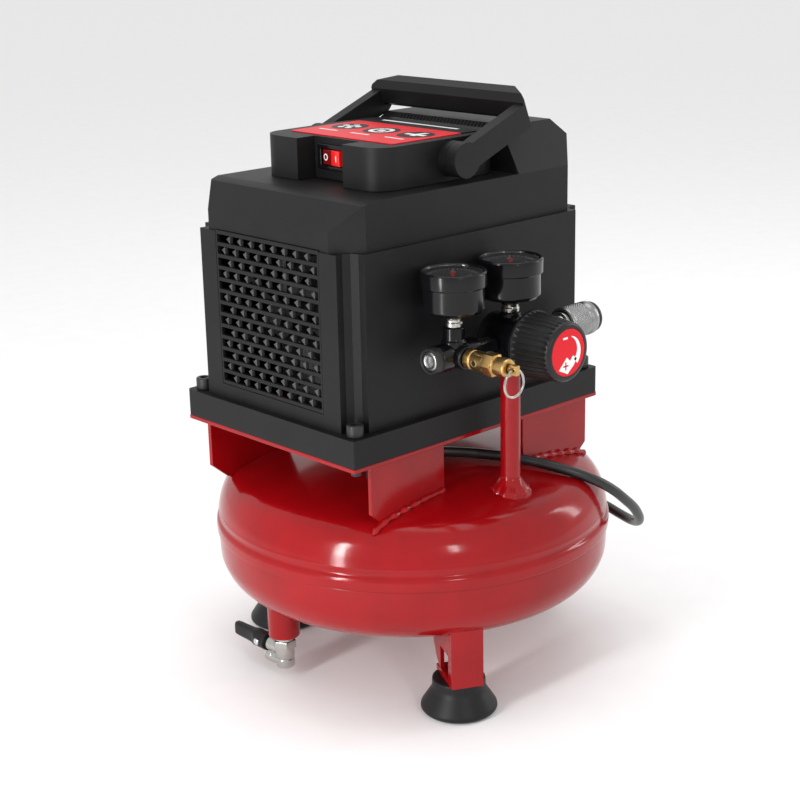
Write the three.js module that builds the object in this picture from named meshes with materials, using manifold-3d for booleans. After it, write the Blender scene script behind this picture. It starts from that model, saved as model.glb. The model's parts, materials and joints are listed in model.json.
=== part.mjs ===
// Small oil-free pancake air compressor: a round tank on three feet, a platform with the motor and
// pump under a moulded shroud, and a pressure line with two gauges along the front (-Y) side.
// Millimetres, +Z up. The tank's axis is at X = Y = 0 while the parts are made; the last lines move
// the whole group so that its outline, without the power cord, is centred over the origin.
import * as THREE from "three";
import { mergeVertices } from "three/addons/utils/BufferGeometryUtils.js";
import Module from "manifold-3d";

// Driving dimensions
const GAP = 0.3;              // running and seating clearance between neighbouring pieces
const SHEET = 3;              // plate thickness of legs and brackets

const TANK_R = 125;           // lower shell, outside
const SKIRT_R = 126.5;        // lip of the upper shell over the lower one
const TANK_WALL = 2;
const TANK_SIDES = 40;
const SEAM_Z = 90;            // lower edge of the upper shell's lip
const TANK_BOTTOM_Z = 45.5;
const DOME_TOP_Z = 140.5;

const FOOT_CIRCLE = 98;       // feet stand on this radius
const FOOT_TOP = 21.4;

const DECK_Z = 168.2;         // upper face of the platform
const DECK_T = 2.5;
const SHROUD = { x: -10, y: 3, halfX: 105, halfY: 77.5 };
const FLANGE_Z = [168.5, 185];
const SHROUD_WALL = 3;
const WALL_TOP = 300;         // where the end walls start to slope in
const CAP_Z = 286;            // underside of the corner caps
const ROOF_Z = 316;
const HUMP_Z = 343;           // raised end of the shroud, over the cylinder head

const CONSOLE = { x0: -70, x1: 29, y0: -52, y1: 53.6, z0: ROOF_Z + GAP, z1: 341, corner: 15 };
const PIVOT = { x: -13, z: 329.3, disc: 10.5, angle: 21.5 };   // carry handle
const HANDLE_T = 8.2;
const HANDLE_SEAT = 5;          // height of the bosses that hold the handle's arms clear
const ROCKER_TILT = 7;          // rest tilt of the switch rocker, degrees

const LINE = { y: -90, z: 225.5 };      // axis of the pressure line
const POST_X = -3.5;
const TEE_X = -50.5;
const GAUGE = { r: 19.2, top: 275, bottom: 251 };
const COUPLER_END = 69;
const KNOB = { back: -106, front: -135, rBack: 20.2, rFront: 17.5 };

const DRAIN = { x: -94, y: 21 };
const SHAFT_Z = 240;          // motor shaft, along X at the middle of the shroud
const CRANK_X = 46;
const CRANK_THROW = 5;

const CORD_R = 3.2;
const TUBE_FOOT = { x: 20, y: 55, z: 137.5 };

const wasm = await Module();
wasm.setup();

// Solids

function toSolid(geometry) {
  const bare = geometry.index ? geometry.toNonIndexed() : geometry.clone();
  bare.deleteAttribute("normal");
  bare.deleteAttribute("uv");
  const merged = mergeVertices(bare, 1e-4);
  return new wasm.Manifold(new wasm.Mesh({
    numProp: 3,
    vertProperties: new Float32Array(merged.attributes.position.array),
    triVerts: new Uint32Array(merged.index.array),
  }));
}

function fromSolid(solid) {
  const mesh = solid.getMesh();
  const corners = new Float32Array(mesh.numVert * 3);
  for (let i = 0; i < mesh.numVert; i++) {
    const from = i * mesh.numProp;
    corners.set(mesh.vertProperties.subarray(from, from + 3), i * 3);
  }
  const geometry = new THREE.BufferGeometry();
  geometry.setAttribute("position", new THREE.BufferAttribute(corners, 3));
  geometry.setIndex(new THREE.BufferAttribute(new Uint32Array(mesh.triVerts), 1));
  geometry.computeVertexNormals();
  return geometry;
}

const join = (...shapes) => shapes.map(toSolid).reduce((a, b) => a.add(b));
const cut = (solid, ...tools) => tools.map(toSolid).reduce((a, b) => a.subtract(b), solid);

// A box from its lowest and highest corners
function box([x0, y0, z0], [x1, y1, z1]) {
  return new THREE.BoxGeometry(x1 - x0, y1 - y0, z1 - z0)
    .translate((x0 + x1) / 2, (y0 + y1) / 2, (z0 + z1) / 2);
}

const outline = (points) => new THREE.Shape(points.map(([u, v]) => new THREE.Vector2(u, v)));

function extrude(shape, depth) {
  return new THREE.ExtrudeGeometry(shape, { depth, bevelEnabled: false, curveSegments: 4 });
}

const prismZ = (shape, z0, z1) => extrude(shape, z1 - z0).translate(0, 0, z0);

// An outline of X and Z, carried from y0 to y1
function prismY(shape, y0, y1) {
  return extrude(shape, y1 - y0).rotateX(Math.PI / 2).translate(0, y1, 0);
}

// An outline of Y and Z, carried from x0 to x1
function prismX(shape, x0, x1) {
  const turn = new THREE.Matrix4().makeBasis(
    new THREE.Vector3(0, 1, 0), new THREE.Vector3(0, 0, 1), new THREE.Vector3(1, 0, 0));
  return extrude(shape, x1 - x0).applyMatrix4(turn).translate(x0, 0, 0);
}

// A turned piece about the Z axis: points are [radius, height]
function turned(points, segments = 24) {
  const profile = points.map(([r, z]) => new THREE.Vector2(r, z));
  return new THREE.LatheGeometry(profile, segments).rotateX(Math.PI / 2);
}

// A turned piece laid along +X, or along -Y, from a point
const alongX = (geometry, x, y, z) => geometry.rotateY(Math.PI / 2).translate(x, y, z);
const alongFront = (geometry, x, y, z) => geometry.rotateX(Math.PI / 2).translate(x, y, z);

const rod = (r, length, segments = 12) => turned([[0, 0], [r, 0], [r, length], [0, length]], segments);
const hexRod = (r, length) => rod(r, length, 6);

function roundedRectangle(x0, x1, y0, y1, r) {
  const s = new THREE.Shape();
  s.moveTo(x0 + r, y0);
  s.lineTo(x1 - r, y0);
  s.absarc(x1 - r, y0 + r, r, -Math.PI / 2, 0, false);
  s.lineTo(x1, y1 - r);
  s.absarc(x1 - r, y1 - r, r, 0, Math.PI / 2, false);
  s.lineTo(x0 + r, y1);
  s.absarc(x0 + r, y1 - r, r, Math.PI / 2, Math.PI, false);
  s.lineTo(x0, y0 + r);
  s.absarc(x0 + r, y0 + r, r, Math.PI, Math.PI * 1.5, false);
  return s;
}

// Finishes

function finish(color, roughness, metalness) {
  return new THREE.MeshStandardMaterial({ color, roughness, metalness });
}

const redEnamel = finish(0xa51e23, 0.18, 0.1);
const charcoalPlastic = finish(0x333334, 0.55, 0);
const glossBlack = finish(0x0c0c0e, 0.15, 0);
const blackRubber = finish(0x1d1d1f, 0.75, 0);
const nickel = finish(0xbdb8af, 0.3, 0.9);
const brass = finish(0xc8964a, 0.3, 0.9);
const blackOxide = finish(0x242426, 0.45, 0.5);
const zinc = finish(0xb8bcc0, 0.35, 0.9);
const rockerRed = finish(0xe01818, 0.3, 0);
const labelRed = finish(0xe2182a, 0.4, 0);
const clearGlass = finish(0xdfe8ea, 0.05, 0);
const needleRed = finish(0xc81e1e, 0.4, 0);
const castAluminium = finish(0x9a9da0, 0.5, 0.8);
const motorSteel = finish(0x6b6e70, 0.5, 0.8);
const copper = finish(0xb87333, 0.35, 0.9);

const compressor = new THREE.Group();

function place(parent, name, geometry, material) {
  const mesh = new THREE.Mesh(geometry, material);
  mesh.name = name;
  parent.add(mesh);
  return mesh;
}

const add = (name, geometry, material) => place(compressor, name, geometry, material);

// Tank

const upperOutside = [
  [SKIRT_R, SEAM_Z], [SKIRT_R, 96.5], [125.2, 98.5], [125, 103], [123.6, 110], [120.5, 117.5],
  [115.5, 123.5], [107, 128], [84, 133], [45, 138], [0, DOME_TOP_Z],
];
const lowerOutside = [
  [0, TANK_BOTTOM_Z], [60, 47], [93, 49.8], [109, 54.2], [118.8, 61.5], [123.9, 71], [TANK_R, 80],
  [TANK_R, SEAM_Z - GAP],
];

function addTank() {
  const upperInside = upperOutside.slice(3).filter((_, i) => i % 2 === 1)
    .map(([r, z]) => [Math.max(r - TANK_WALL, 0), z - TANK_WALL]);
  const lipInside = SKIRT_R - TANK_WALL;
  add("tank_upper_shell", turned([
    ...upperInside.reverse(), [lipInside, 95], [lipInside, SEAM_Z], ...upperOutside,
  ], TANK_SIDES), redEnamel);

  const tongue = lipInside - GAP;             // the lower shell's edge reaches up inside the lip
  const lowerInside = lowerOutside.slice(0, -1).filter((_, i) => i % 2 === 0)
    .map(([r, z]) => [Math.max(r - TANK_WALL - GAP, 0), z + TANK_WALL]);
  add("tank_lower_shell", turned([
    ...lowerOutside, [tongue, SEAM_Z - GAP], [tongue, 94], [tongue - TANK_WALL, 94],
    ...lowerInside.reverse(),
  ], TANK_SIDES), redEnamel);
}

// The outside of the whole tank grown by the gap, used to fit what is welded to it
const tankFit = turned([
  ...lowerOutside.slice(0, -1).map(([r, z]) => [r ? r + GAP : 0, z - GAP]),
  ...upperOutside.map(([r, z]) => [r ? r + GAP : 0, z + (z > SEAM_Z ? GAP : -GAP)]),
], TANK_SIDES);

// Feet: local +X points outwards from the tank's axis

function addFeet() {
  [-3, 112, -118].forEach((degrees, i) => {
    const leg = new THREE.Group();
    const turnLeg = degrees * Math.PI / 180;
    leg.rotation.z = turnLeg;
    compressor.add(leg);
    const fit = tankFit.clone().rotateZ(-turnLeg);

    const webX = FOOT_CIRCLE + 15;
    const tabZ = FOOT_TOP + GAP;
    const web = box([webX, -10, tabZ], [webX + SHEET, 10, 75]);
    const tab = box([FOOT_CIRCLE - 14, -10, tabZ], [webX + 1, 10, tabZ + SHEET]);
    const cheek = outline([
      [webX + 1, tabZ], [webX - 17, tabZ], [webX - 29, tabZ + 9], [webX - 36, tabZ + 20],
      [webX - 39, tabZ + 34], [webX + 1, tabZ + 34],
    ]);
    const sight = box([FOOT_CIRCLE - 5, -11, tabZ + SHEET + 1], [webX - 4, 11, tabZ + 19]);
    const bolt = rod(3.4, 40).translate(FOOT_CIRCLE, 0, 10);
    const bracket = join(web, tab, prismY(cheek, -10, -7.5), prismY(cheek, 7.5, 10));
    place(leg, `foot_bracket_${i + 1}`, fromSolid(cut(bracket, sight, bolt, fit)), redEnamel);

    place(leg, `rubber_foot_${i + 1}`, turned([
      [8, 0], [21.6, 0], [23.6, 2.5], [23.2, 4.5], [16.9, 14], [16.3, FOOT_TOP],
      [3.4, FOOT_TOP], [3.4, 9], [8, 9], [8, 0],
    ], 20).translate(FOOT_CIRCLE, 0, 0), blackRubber);

    const nutZ = tabZ + SHEET + GAP;
    place(leg, `foot_bolt_${i + 1}`, fromSolid(join(
      rod(3, 28, 12).translate(FOOT_CIRCLE, 0, 5),
      rod(6, 3.6, 12).translate(FOOT_CIRCLE, 0, 9 - GAP - 3.6),
      hexRod(5.8, 5).translate(FOOT_CIRCLE, 0, nutZ),
    )), zinc);
  });
}

// Platform on four welded legs

function addPlatform() {
  const deck = box([SHROUD.x - 104.5, SHROUD.y - 77, DECK_Z - DECK_T],
    [SHROUD.x + 104.5, SHROUD.y + 77, DECK_Z]);
  const holes = screwPlaces().map(([x, y]) => rod(3.4, 10, 12).translate(x, y, DECK_Z - 5));
  const tubeHole = rod(6, 10).translate(TUBE_FOOT.x, TUBE_FOOT.y, DECK_Z - 5);
  add("platform", fromSolid(cut(toSolid(deck), ...holes, tubeHole)), redEnamel);

  const top = DECK_Z - DECK_T - GAP;
  const plates = [
    ["leg_front_left", -96.5, -37, -66], ["leg_front_right", 92, 32, -66],
    ["leg_rear_left", -106, -45, 72], ["leg_rear_right", 92, 32, 72],
  ];
  for (const [name, outer, inner, y] of plates) {
    const inwards = Math.sign(inner - outer);
    const side = outline([
      [outer, top], [outer, 134], [outer + 12 * inwards, 124], [inner, 116], [inner, top],
    ]);
    const plate = toSolid(prismY(side, y - SHEET / 2, y + SHEET / 2));
    add(name, fromSolid(cut(plate, tankFit)), redEnamel);
  }
}

// Shroud: flanged box with hollow corners for the screws and chamfered caps over them

function screwPlaces() {
  const dx = SHROUD.halfX - 8;
  const dy = SHROUD.halfY - 7.5;
  return [[-dx, -dy], [dx, -dy], [dx, dy], [-dx, dy]].map(([x, y]) => [SHROUD.x + x, SHROUD.y + y]);
}

// The wall's outline, anticlockwise, with a round groove about each corner screw
function wallOutline(halfX, halfY, grooveR, steps = 4) {
  const points = [];
  const signs = [[1, -1], [1, 1], [-1, 1], [-1, -1]];
  signs.forEach(([sx, sy], i) => {
    const cx = SHROUD.x + sx * (SHROUD.halfX - 8);
    const cy = SHROUD.y + sy * (SHROUD.halfY - 7.5);
    const wallX = SHROUD.x + sx * halfX;
    const wallY = SHROUD.y + sy * halfY;
    const onLong = [cx - sx * Math.sqrt(grooveR ** 2 - (wallY - cy) ** 2), wallY];
    const onEnd = [wallX, cy - sy * Math.sqrt(grooveR ** 2 - (wallX - cx) ** 2)];
    const [from, to] = i % 2 ? [onEnd, onLong] : [onLong, onEnd];
    const start = Math.atan2(from[1] - cy, from[0] - cx);
    let swing = Math.atan2(to[1] - cy, to[0] - cx) - start;
    if (swing > 0) swing -= 2 * Math.PI;
    for (let k = 0; k <= steps; k++) {
      const a = start + swing * k / steps;
      points.push([cx + grooveR * Math.cos(a), cy + grooveR * Math.sin(a)]);
    }
  });
  return outline(points);
}

function chamferedOutline(halfX, halfY, chamfer) {
  const { x, y } = SHROUD;
  return outline([
    [x - halfX + chamfer, y - halfY], [x + halfX - chamfer, y - halfY],
    [x + halfX, y - halfY + chamfer], [x + halfX, y + halfY - chamfer],
    [x + halfX - chamfer, y + halfY], [x - halfX + chamfer, y + halfY],
    [x - halfX, y + halfY - chamfer], [x - halfX, y - halfY + chamfer],
  ]);
}

// The roof's outline from the side, d inside its outer face
function roofSide(d, bottom) {
  const left = SHROUD.x - 99 + d;
  const right = SHROUD.x + 99 - d;
  const bend = d * Math.tan(Math.PI / 8);
  return outline([
    [left, bottom], [left, WALL_TOP - bend], [left + 14, WALL_TOP + 14 - bend], [left + 20, ROOF_Z - d],
    [30 + d, ROOF_Z - d], [30 + d, HUMP_Z - 8 - bend], [38 + bend, HUMP_Z - d],
    [right - 15 + bend - d * 0.4, HUMP_Z - d], [right, HUMP_Z - 15 - d], [right, bottom],
  ]);
}

// The roof's outline from the end: the hump's sides lean in above the roof
function roofEnd(d) {
  const half = SHROUD.halfY - 8.5 - d;
  const top = SHROUD.halfY - 24 - d;
  return outline([
    [SHROUD.y - half, FLANGE_Z[0] - 1], [SHROUD.y + half, FLANGE_Z[0] - 1], [SHROUD.y + half, ROOF_Z - d],
    [SHROUD.y + top, HUMP_Z + 1 - d], [SHROUD.y - top, HUMP_Z + 1 - d], [SHROUD.y - half, ROOF_Z - d],
  ]);
}

const GRILLE = { halfY: 46.8, z0: 193.5, z1: 289, t: 2.6 };

function addShroud() {
  const { x, y, halfX, halfY } = SHROUD;
  const flange = roundedRectangle(x - halfX, x + halfX, y - halfY, y + halfY, 3);
  const walls = prismZ(wallOutline(100, halfY - 5.5, 9), FLANGE_Z[0], CAP_Z + 2);
  const roof = toSolid(prismY(roofSide(0, CAP_Z), y - halfY, y + halfY))
    .intersect(toSolid(prismZ(chamferedOutline(99.5, halfY - 8.5, 15.5), CAP_Z - 1, HUMP_Z + 2)))
    .intersect(toSolid(prismX(roofEnd(0), x - halfX, x + halfX)));

  const inner = 100 - SHROUD_WALL;
  const innerY = halfY - 5.5 - SHROUD_WALL;
  const hollow = toSolid(prismZ(chamferedOutline(inner, innerY, 16), FLANGE_Z[0] - 1, CAP_Z));
  const attic = toSolid(prismY(roofSide(SHROUD_WALL, CAP_Z - 8), y - halfY, y + halfY))
    .intersect(toSolid(prismZ(chamferedOutline(96, halfY - 12, 16), CAP_Z - 9, HUMP_Z + 2)))
    .intersect(toSolid(prismX(roofEnd(SHROUD_WALL), x - halfX, x + halfX)));

  let shroud = toSolid(prismZ(flange, ...FLANGE_Z)).add(toSolid(walls)).add(roof);
  shroud = shroud.subtract(hollow).subtract(attic);
  const window = box([x - halfX, y - GRILLE.halfY, GRILLE.z0], [x - 90, y + GRILLE.halfY, GRILLE.z1]);
  const louvres = [0, 1, 2, 3, 4, 5].map((i) =>
    box([x + 90, y - 36, 205 + i * 13], [x + halfX, y + 36, 211 + i * 13]));
  const holes = screwPlaces().map(([sx, sy]) => rod(3.4, 30, 12).translate(sx, sy, FLANGE_Z[0] - 5));
  shroud = cut(shroud, window, ...louvres, ...holes);
  add("shroud", fromSolid(shroud), charcoalPlastic);

  screwPlaces().forEach(([sx, sy], i) => {
    const seat = FLANGE_Z[1] + GAP;
    const deckUnder = DECK_Z - DECK_T + 0.1 - (i ? 0 : 4.5);    // only the first has no leg under it
    add(`corner_screw_${i + 1}`, turned([
      [0, deckUnder], [3, deckUnder], [3, seat], [5, seat], [5, seat + 6.2], [4.2, seat + 7],
      [2.5, seat + 7], [2.5, seat + 3.5], [0, seat + 3.5],
    ], 12).translate(sx, sy, 0), blackOxide);
  });
}

// Intake grille: a flat panel with staggered rows of square holes
function addGrille() {
  const outer = SHROUD.x - 100;
  const half = GRILLE.halfY - GAP;
  const [low, high] = [GRILLE.z0 + GAP, GRILLE.z1 - GAP];
  const [rows, columns] = [13, 9];
  const pitchZ = (high - low - 2) / rows;
  const pitchY = (2 * half - 3) / (columns + 0.5);
  const holes = [];
  for (let row = 0; row < rows; row++) {
    const shift = row % 2 ? pitchY / 2 : 0;
    for (let column = 0; column < columns; column++) {
      const y = SHROUD.y - half + 1.5 + shift + pitchY * (column + 0.5);
      const z = low + 1 + pitchZ * (row + 0.5);
      holes.push(box([outer - 1, y - 3.2, z - 2.35], [outer + GRILLE.t + 1, y + 3.2, z + 2.35]));
    }
  }
  const panel = box([outer, SHROUD.y - half, low], [outer + GRILLE.t, SHROUD.y + half, high]);
  add("grille_panel", fromSolid(cut(toSolid(panel), ...holes)), charcoalPlastic);
}

// Console with the switch recess, on the roof

const RECESS = { x: -56, y0: -21, y1: 19 };
const SWITCH = { y: 2, z: 329.5, halfY: 13, halfZ: 7.5 };

function addConsole() {
  const c = CONSOLE;
  const wall = 2.6;
  const shell = toSolid(prismZ(roundedRectangle(c.x0, c.x1, c.y0, c.y1, c.corner), c.z0, c.z1));
  const inside = toSolid(prismZ(
    roundedRectangle(c.x0 + wall, c.x1 - wall, c.y0 + wall, c.y1 - wall, c.corner - wall),
    c.z0 - 1, c.z1 - wall));
  const recess = box([c.x0 - 1, RECESS.y0, c.z0 - 1], [RECESS.x, RECESS.y1, c.z1 + 1]);
  const lining = box([c.x0 + 1, RECESS.y0 - wall, c.z0], [RECESS.x + wall, RECESS.y1 + wall, c.z1]);
  let body = shell.subtract(inside).add(toSolid(lining).intersect(shell));
  const bosses = [c.y0 + 1, c.y1 + HANDLE_SEAT].map((start) =>
    alongFront(rod(PIVOT.disc, HANDLE_SEAT + 1, 20), PIVOT.x, start, PIVOT.z));
  const pins = [c.y0, c.y1 + HANDLE_SEAT + 5].map((start) =>
    alongFront(rod(4, HANDLE_SEAT + 5, 12), PIVOT.x, start, PIVOT.z));
  body = [...bosses, ...pins].map(toSolid).reduce((a, b) => a.add(b), body);
  const socket = box([RECESS.x - 1, SWITCH.y - 11, SWITCH.z - 6], [RECESS.x + wall + 1, SWITCH.y + 11,
    SWITCH.z + 6]);
  add("console", fromSolid(cut(body, recess, socket)), charcoalPlastic);

  add("console_label", prismZ(
    roundedRectangle(c.x0 + 17, c.x1 - 2, c.y0 + 7, c.y1 - 8, 2), c.z1 + 0.05, c.z1 + 0.6), labelRed);

  const face = box([RECESS.x - 2, SWITCH.y - SWITCH.halfY, SWITCH.z - SWITCH.halfZ],
    [RECESS.x - 0.1, SWITCH.y + SWITCH.halfY, SWITCH.z + SWITCH.halfZ]);
  const barrel = box([RECESS.x - 1, SWITCH.y - 10.7, SWITCH.z - 5.7],
    [RECESS.x + 16, SWITCH.y + 10.7, SWITCH.z + 5.7]);
  const well = box([RECESS.x - 3, SWITCH.y - 9.6, SWITCH.z - 4.9],
    [RECESS.x + 9, SWITCH.y + 9.6, SWITCH.z + 4.9]);
  add("switch_body", fromSolid(cut(join(face, barrel), well)), glossBlack);

  const rocker = outline([[-3.4, -8.4], [4, -8], [4, 8], [-3.4, 8.4]]);
  add("switch_rocker", prismZ(rocker, SWITCH.z - 4.5, SWITCH.z + 4.5)
    .rotateZ(-ROCKER_TILT * Math.PI / 180).translate(RECESS.x + 1, SWITCH.y, 0), rockerRed);
}

// Carry handle: two arms on the console's trunnions and a faceted grip bar

function addHandle() {
  const swing = new THREE.Group();
  swing.position.set(PIVOT.x, 0, PIVOT.z);
  swing.rotation.y = -PIVOT.angle * Math.PI / 180;
  compressor.add(swing);

  const near = CONSOLE.y0 - HANDLE_SEAT - GAP;       // inner faces of the two arms
  const far = CONSOLE.y1 + HANDLE_SEAT + GAP;
  const outerNear = near - HANDLE_T;
  const outerFar = far + HANDLE_T;
  const reach = 70;
  const arm = outline([[0, -7.5], [reach - 14, -7.5], [reach - 6, -3], [reach - 6, 7.5], [0, 7.5]]);
  const grip = outline([
    [reach - 16, -1], [reach - 13, -4], [reach - 3, -4], [reach, -1], [reach, 9], [reach - 4, 13],
    [reach - 12, 13], [reach - 16, 9],
  ]);
  const discs = [near, outerFar].map((start) => alongFront(rod(PIVOT.disc, HANDLE_T, 24), 0, start, 0));
  const arms = [[outerNear, near], [far, outerFar]].map(([y0, y1]) => prismY(arm, y0, y1));
  const bail = join(prismY(grip, outerNear, outerFar), ...arms, ...discs);

  const [cornerX, cornerY] = [14, 22];
  const trims = [[outerNear, 1], [outerFar, -1]].map(([y, s]) =>
    prismZ(outline([[reach + 1, y - s], [reach + 1, y + s * (cornerY + 1)], [reach - cornerX - 1, y - s]]),
      -20, 30));
  const bores = [CONSOLE.y0, CONSOLE.y1 + HANDLE_SEAT + 5.4].map((start) =>
    alongFront(rod(4.3, HANDLE_SEAT + 5.4, 12), 0, start, 0));
  place(swing, "carry_handle", fromSolid(cut(bail, ...trims, ...bores)), charcoalPlastic);
}

// Pressure line: tee with plug and safety valve, regulator, two gauges, quick coupler

function addPost() {
  const foot = toSolid(turned([
    [0, 120], [14, 120], [13, 131], [9, 136], [6, 140], [6, 205], [0, 205],
  ], 20).translate(POST_X, LINE.y, 0));
  add("riser_post", fromSolid(cut(foot, tankFit)), redEnamel);
}

function addLine() {
  const { y, z } = LINE;
  const neckTop = 246;
  add("manifold_tee", fromSolid(join(
    alongX(rod(8, 32, 16), TEE_X - 15.5, y, z),
    alongX(rod(5.6, 21), TEE_X + 10.4, y, z),
    alongFront(rod(7, 11), TEE_X, y, z),
    rod(5.6, neckTop - z).translate(TEE_X, y, z),
  )), glossBlack);
  const plugEnd = TEE_X - 15.5 - GAP - 4.6;
  const plugDisc = turned([[0, 0], [7.1, 0], [7.6, 0.6], [7.6, 4.6], [0, 4.6]], 20);
  const plug = toSolid(alongX(plugDisc, plugEnd, y, z));
  add("tee_plug", fromSolid(cut(plug, alongX(hexRod(3.6, 5), plugEnd - 2, y, z))), nickel);

  const bodyBack = y + 15;
  add("regulator_body", fromSolid(join(
    alongFront(turned([[0, 0], [13, 0], [15, 2], [15, 24], [17, 26], [17, 30.4], [0, 30.4]], 20),
      POST_X, bodyBack, z),
    alongFront(rod(4, 7.5), POST_X, bodyBack - 30, z),
    alongX(hexRod(8, 18), POST_X + 10, y, z),
    rod(5.6, neckTop - z).translate(POST_X, y, z),
    hexRod(8.5, 14).translate(POST_X, y, 205 + GAP),
  )), glossBlack);

  const depth = KNOB.back - KNOB.front;
  const knob = toSolid(alongFront(turned([
    [0, 0], [KNOB.rBack, 0], [KNOB.rBack, 3], [KNOB.rFront, depth - 1.5], [KNOB.rFront - 1.5, depth],
    [0, depth],
  ], 32), POST_X, KNOB.back, z));
  add("regulator_knob", fromSolid(cut(knob, alongFront(rod(4.3, 8), POST_X, KNOB.back + 1, z))), glossBlack);

  [TEE_X, POST_X].forEach((x, i) => addGauge(x, i + 1, neckTop));
  addSafetyValve();
  addCoupler();
}

function addGauge(x, number, neckTop) {
  const { r, top, bottom } = GAUGE;
  const dialZ = top - 4.2;
  const upright = (geometry) => geometry.translate(x, LINE.y, 0);
  add(`gauge_case_${number}`, upright(turned([
    [0, bottom], [r - 3, bottom], [r - 1.4, bottom + 1.6], [r - 1.4, top - 9], [r, top - 8.6], [r, top],
    [r - 2, top], [r - 2, dialZ], [0, dialZ],
  ], 24)), glossBlack);
  add(`gauge_stem_${number}`, upright(turned([
    [0, neckTop + GAP], [4.4, neckTop + GAP], [6.9, bottom - 2.6], [6.9, bottom - GAP], [0, bottom - GAP],
  ], 12)), nickel);
  const needle = outline([[-4, -1], [3, -1], [13.5, 0], [3, 1], [-4, 1]]);
  add(`gauge_needle_${number}`, fromSolid(join(
    prismZ(needle, dialZ + 0.9, dialZ + 1.5).rotateZ(Math.PI * 1.25).translate(x, LINE.y, 0),
    upright(turned([[0, dialZ + GAP], [1.8, dialZ + GAP], [1.8, dialZ + 1.9], [0, dialZ + 1.9]], 10)),
  )), needleRed);
  add(`gauge_lens_${number}`, upright(turned([
    [0, top - 1.9], [r - 2.4, top - 1.9], [r - 2.4, top - 0.7], [0, top - 0.7],
  ], 20)), clearGlass);
}

// Safety valve: brass body, sprung stem with a flat eye, and the pull ring through the eye
const VALVE = { start: -101.3, end: -133, eye: -136.5, z: LINE.z };

function addSafetyValve() {
  const { start, end, eye, z } = VALVE;
  const length = start - end;
  const brassBody = toSolid(alongFront(turned([
    [0, 0], [5.8, 0], [5.8, 14], [6.6, 15], [6.6, 22], [5.4, 23], [5.4, length], [0, length],
  ], 18), TEE_X, start, z));
  const bore = alongFront(rod(2.7, 14, 12), TEE_X, end + 13, z);
  const ports = alongX(rod(1.8, 16, 10), TEE_X - 8, start - 9, z);
  add("safety_valve_body", fromSolid(cut(brassBody, bore, ports)), brass);

  const stem = join(
    alongFront(rod(2.3, 11, 12), TEE_X, end + 8, z),
    box([TEE_X - 1.5, eye - 2.8, z - 2.8], [TEE_X + 1.5, end - 1, z + 2.8]),
  );
  const eyeHole = alongX(rod(1.4, 6, 12), TEE_X - 3, eye, z);
  add("safety_valve_stem", fromSolid(cut(stem, eyeHole)), brass);

  const ringR = 7.8;
  add("pull_ring", new THREE.TorusGeometry(ringR, 0.75, 6, 20)
    .rotateX(Math.PI / 2).translate(TEE_X, eye, z - ringR), nickel);
}

const SLEEVE = { x0: 42, x1: 66 };

function addCoupler() {
  const { y, z } = LINE;
  const start = POST_X + 28 + GAP;
  const body = toSolid(alongX(turned([
    [0, 0], [6.5, 0], [6.5, 14], [8, 15], [8, COUPLER_END - 2 - start], [9.2, COUPLER_END - 2 - start],
    [9.2, COUPLER_END - start], [0, COUPLER_END - start],
  ], 20), start, y, z));
  add("coupler_body", fromSolid(cut(body, alongX(rod(5, 24), COUPLER_END - 22, y, z))), nickel);
  const length = SLEEVE.x1 - SLEEVE.x0;
  add("coupler_sleeve", alongX(turned([
    [8.5, 0], [9.8, 0], [10.4, 1], [10.4, length], [8.5, length], [8.5, 0],
  ], 20), SLEEVE.x0, y, z), nickel);
}

// Drain at the tank's bottom edge: boss, valve and wing lever

const WING = { y: 37, z: 19.5 };

function addDrain() {
  const { x, y } = DRAIN;
  add("drain_boss", fromSolid(cut(toSolid(rod(10, 35, 20).translate(x, y, 30)), tankFit)), redEnamel);
  add("drain_valve_body", fromSolid(join(
    rod(6, 21, 16).translate(x, y, 8.7),
    hexRod(7, 5).translate(x, y, 22),
    alongFront(rod(4.6, 14, 14), x, y + 14, WING.z),
    alongFront(rod(3, 20, 12), x, y + 20, WING.z),
    alongFront(rod(4.2, 12, 14), x - 2, y + 13, 13),
  )), nickel);
  const hub = toSolid(alongFront(rod(5.6, 10, 18), x, WING.y + 10, WING.z));
  const paddle = toSolid(box([x - 3, WING.y + 8, WING.z - 4.5], [x + 3, WING.y + 33, WING.z + 4.5]));
  const socket = alongFront(rod(3.3, 7, 12), x, WING.y + 6, WING.z);
  add("drain_lever", fromSolid(cut(hub.add(paddle), socket)), glossBlack);
}

// Motor and pump under the shroud

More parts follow.
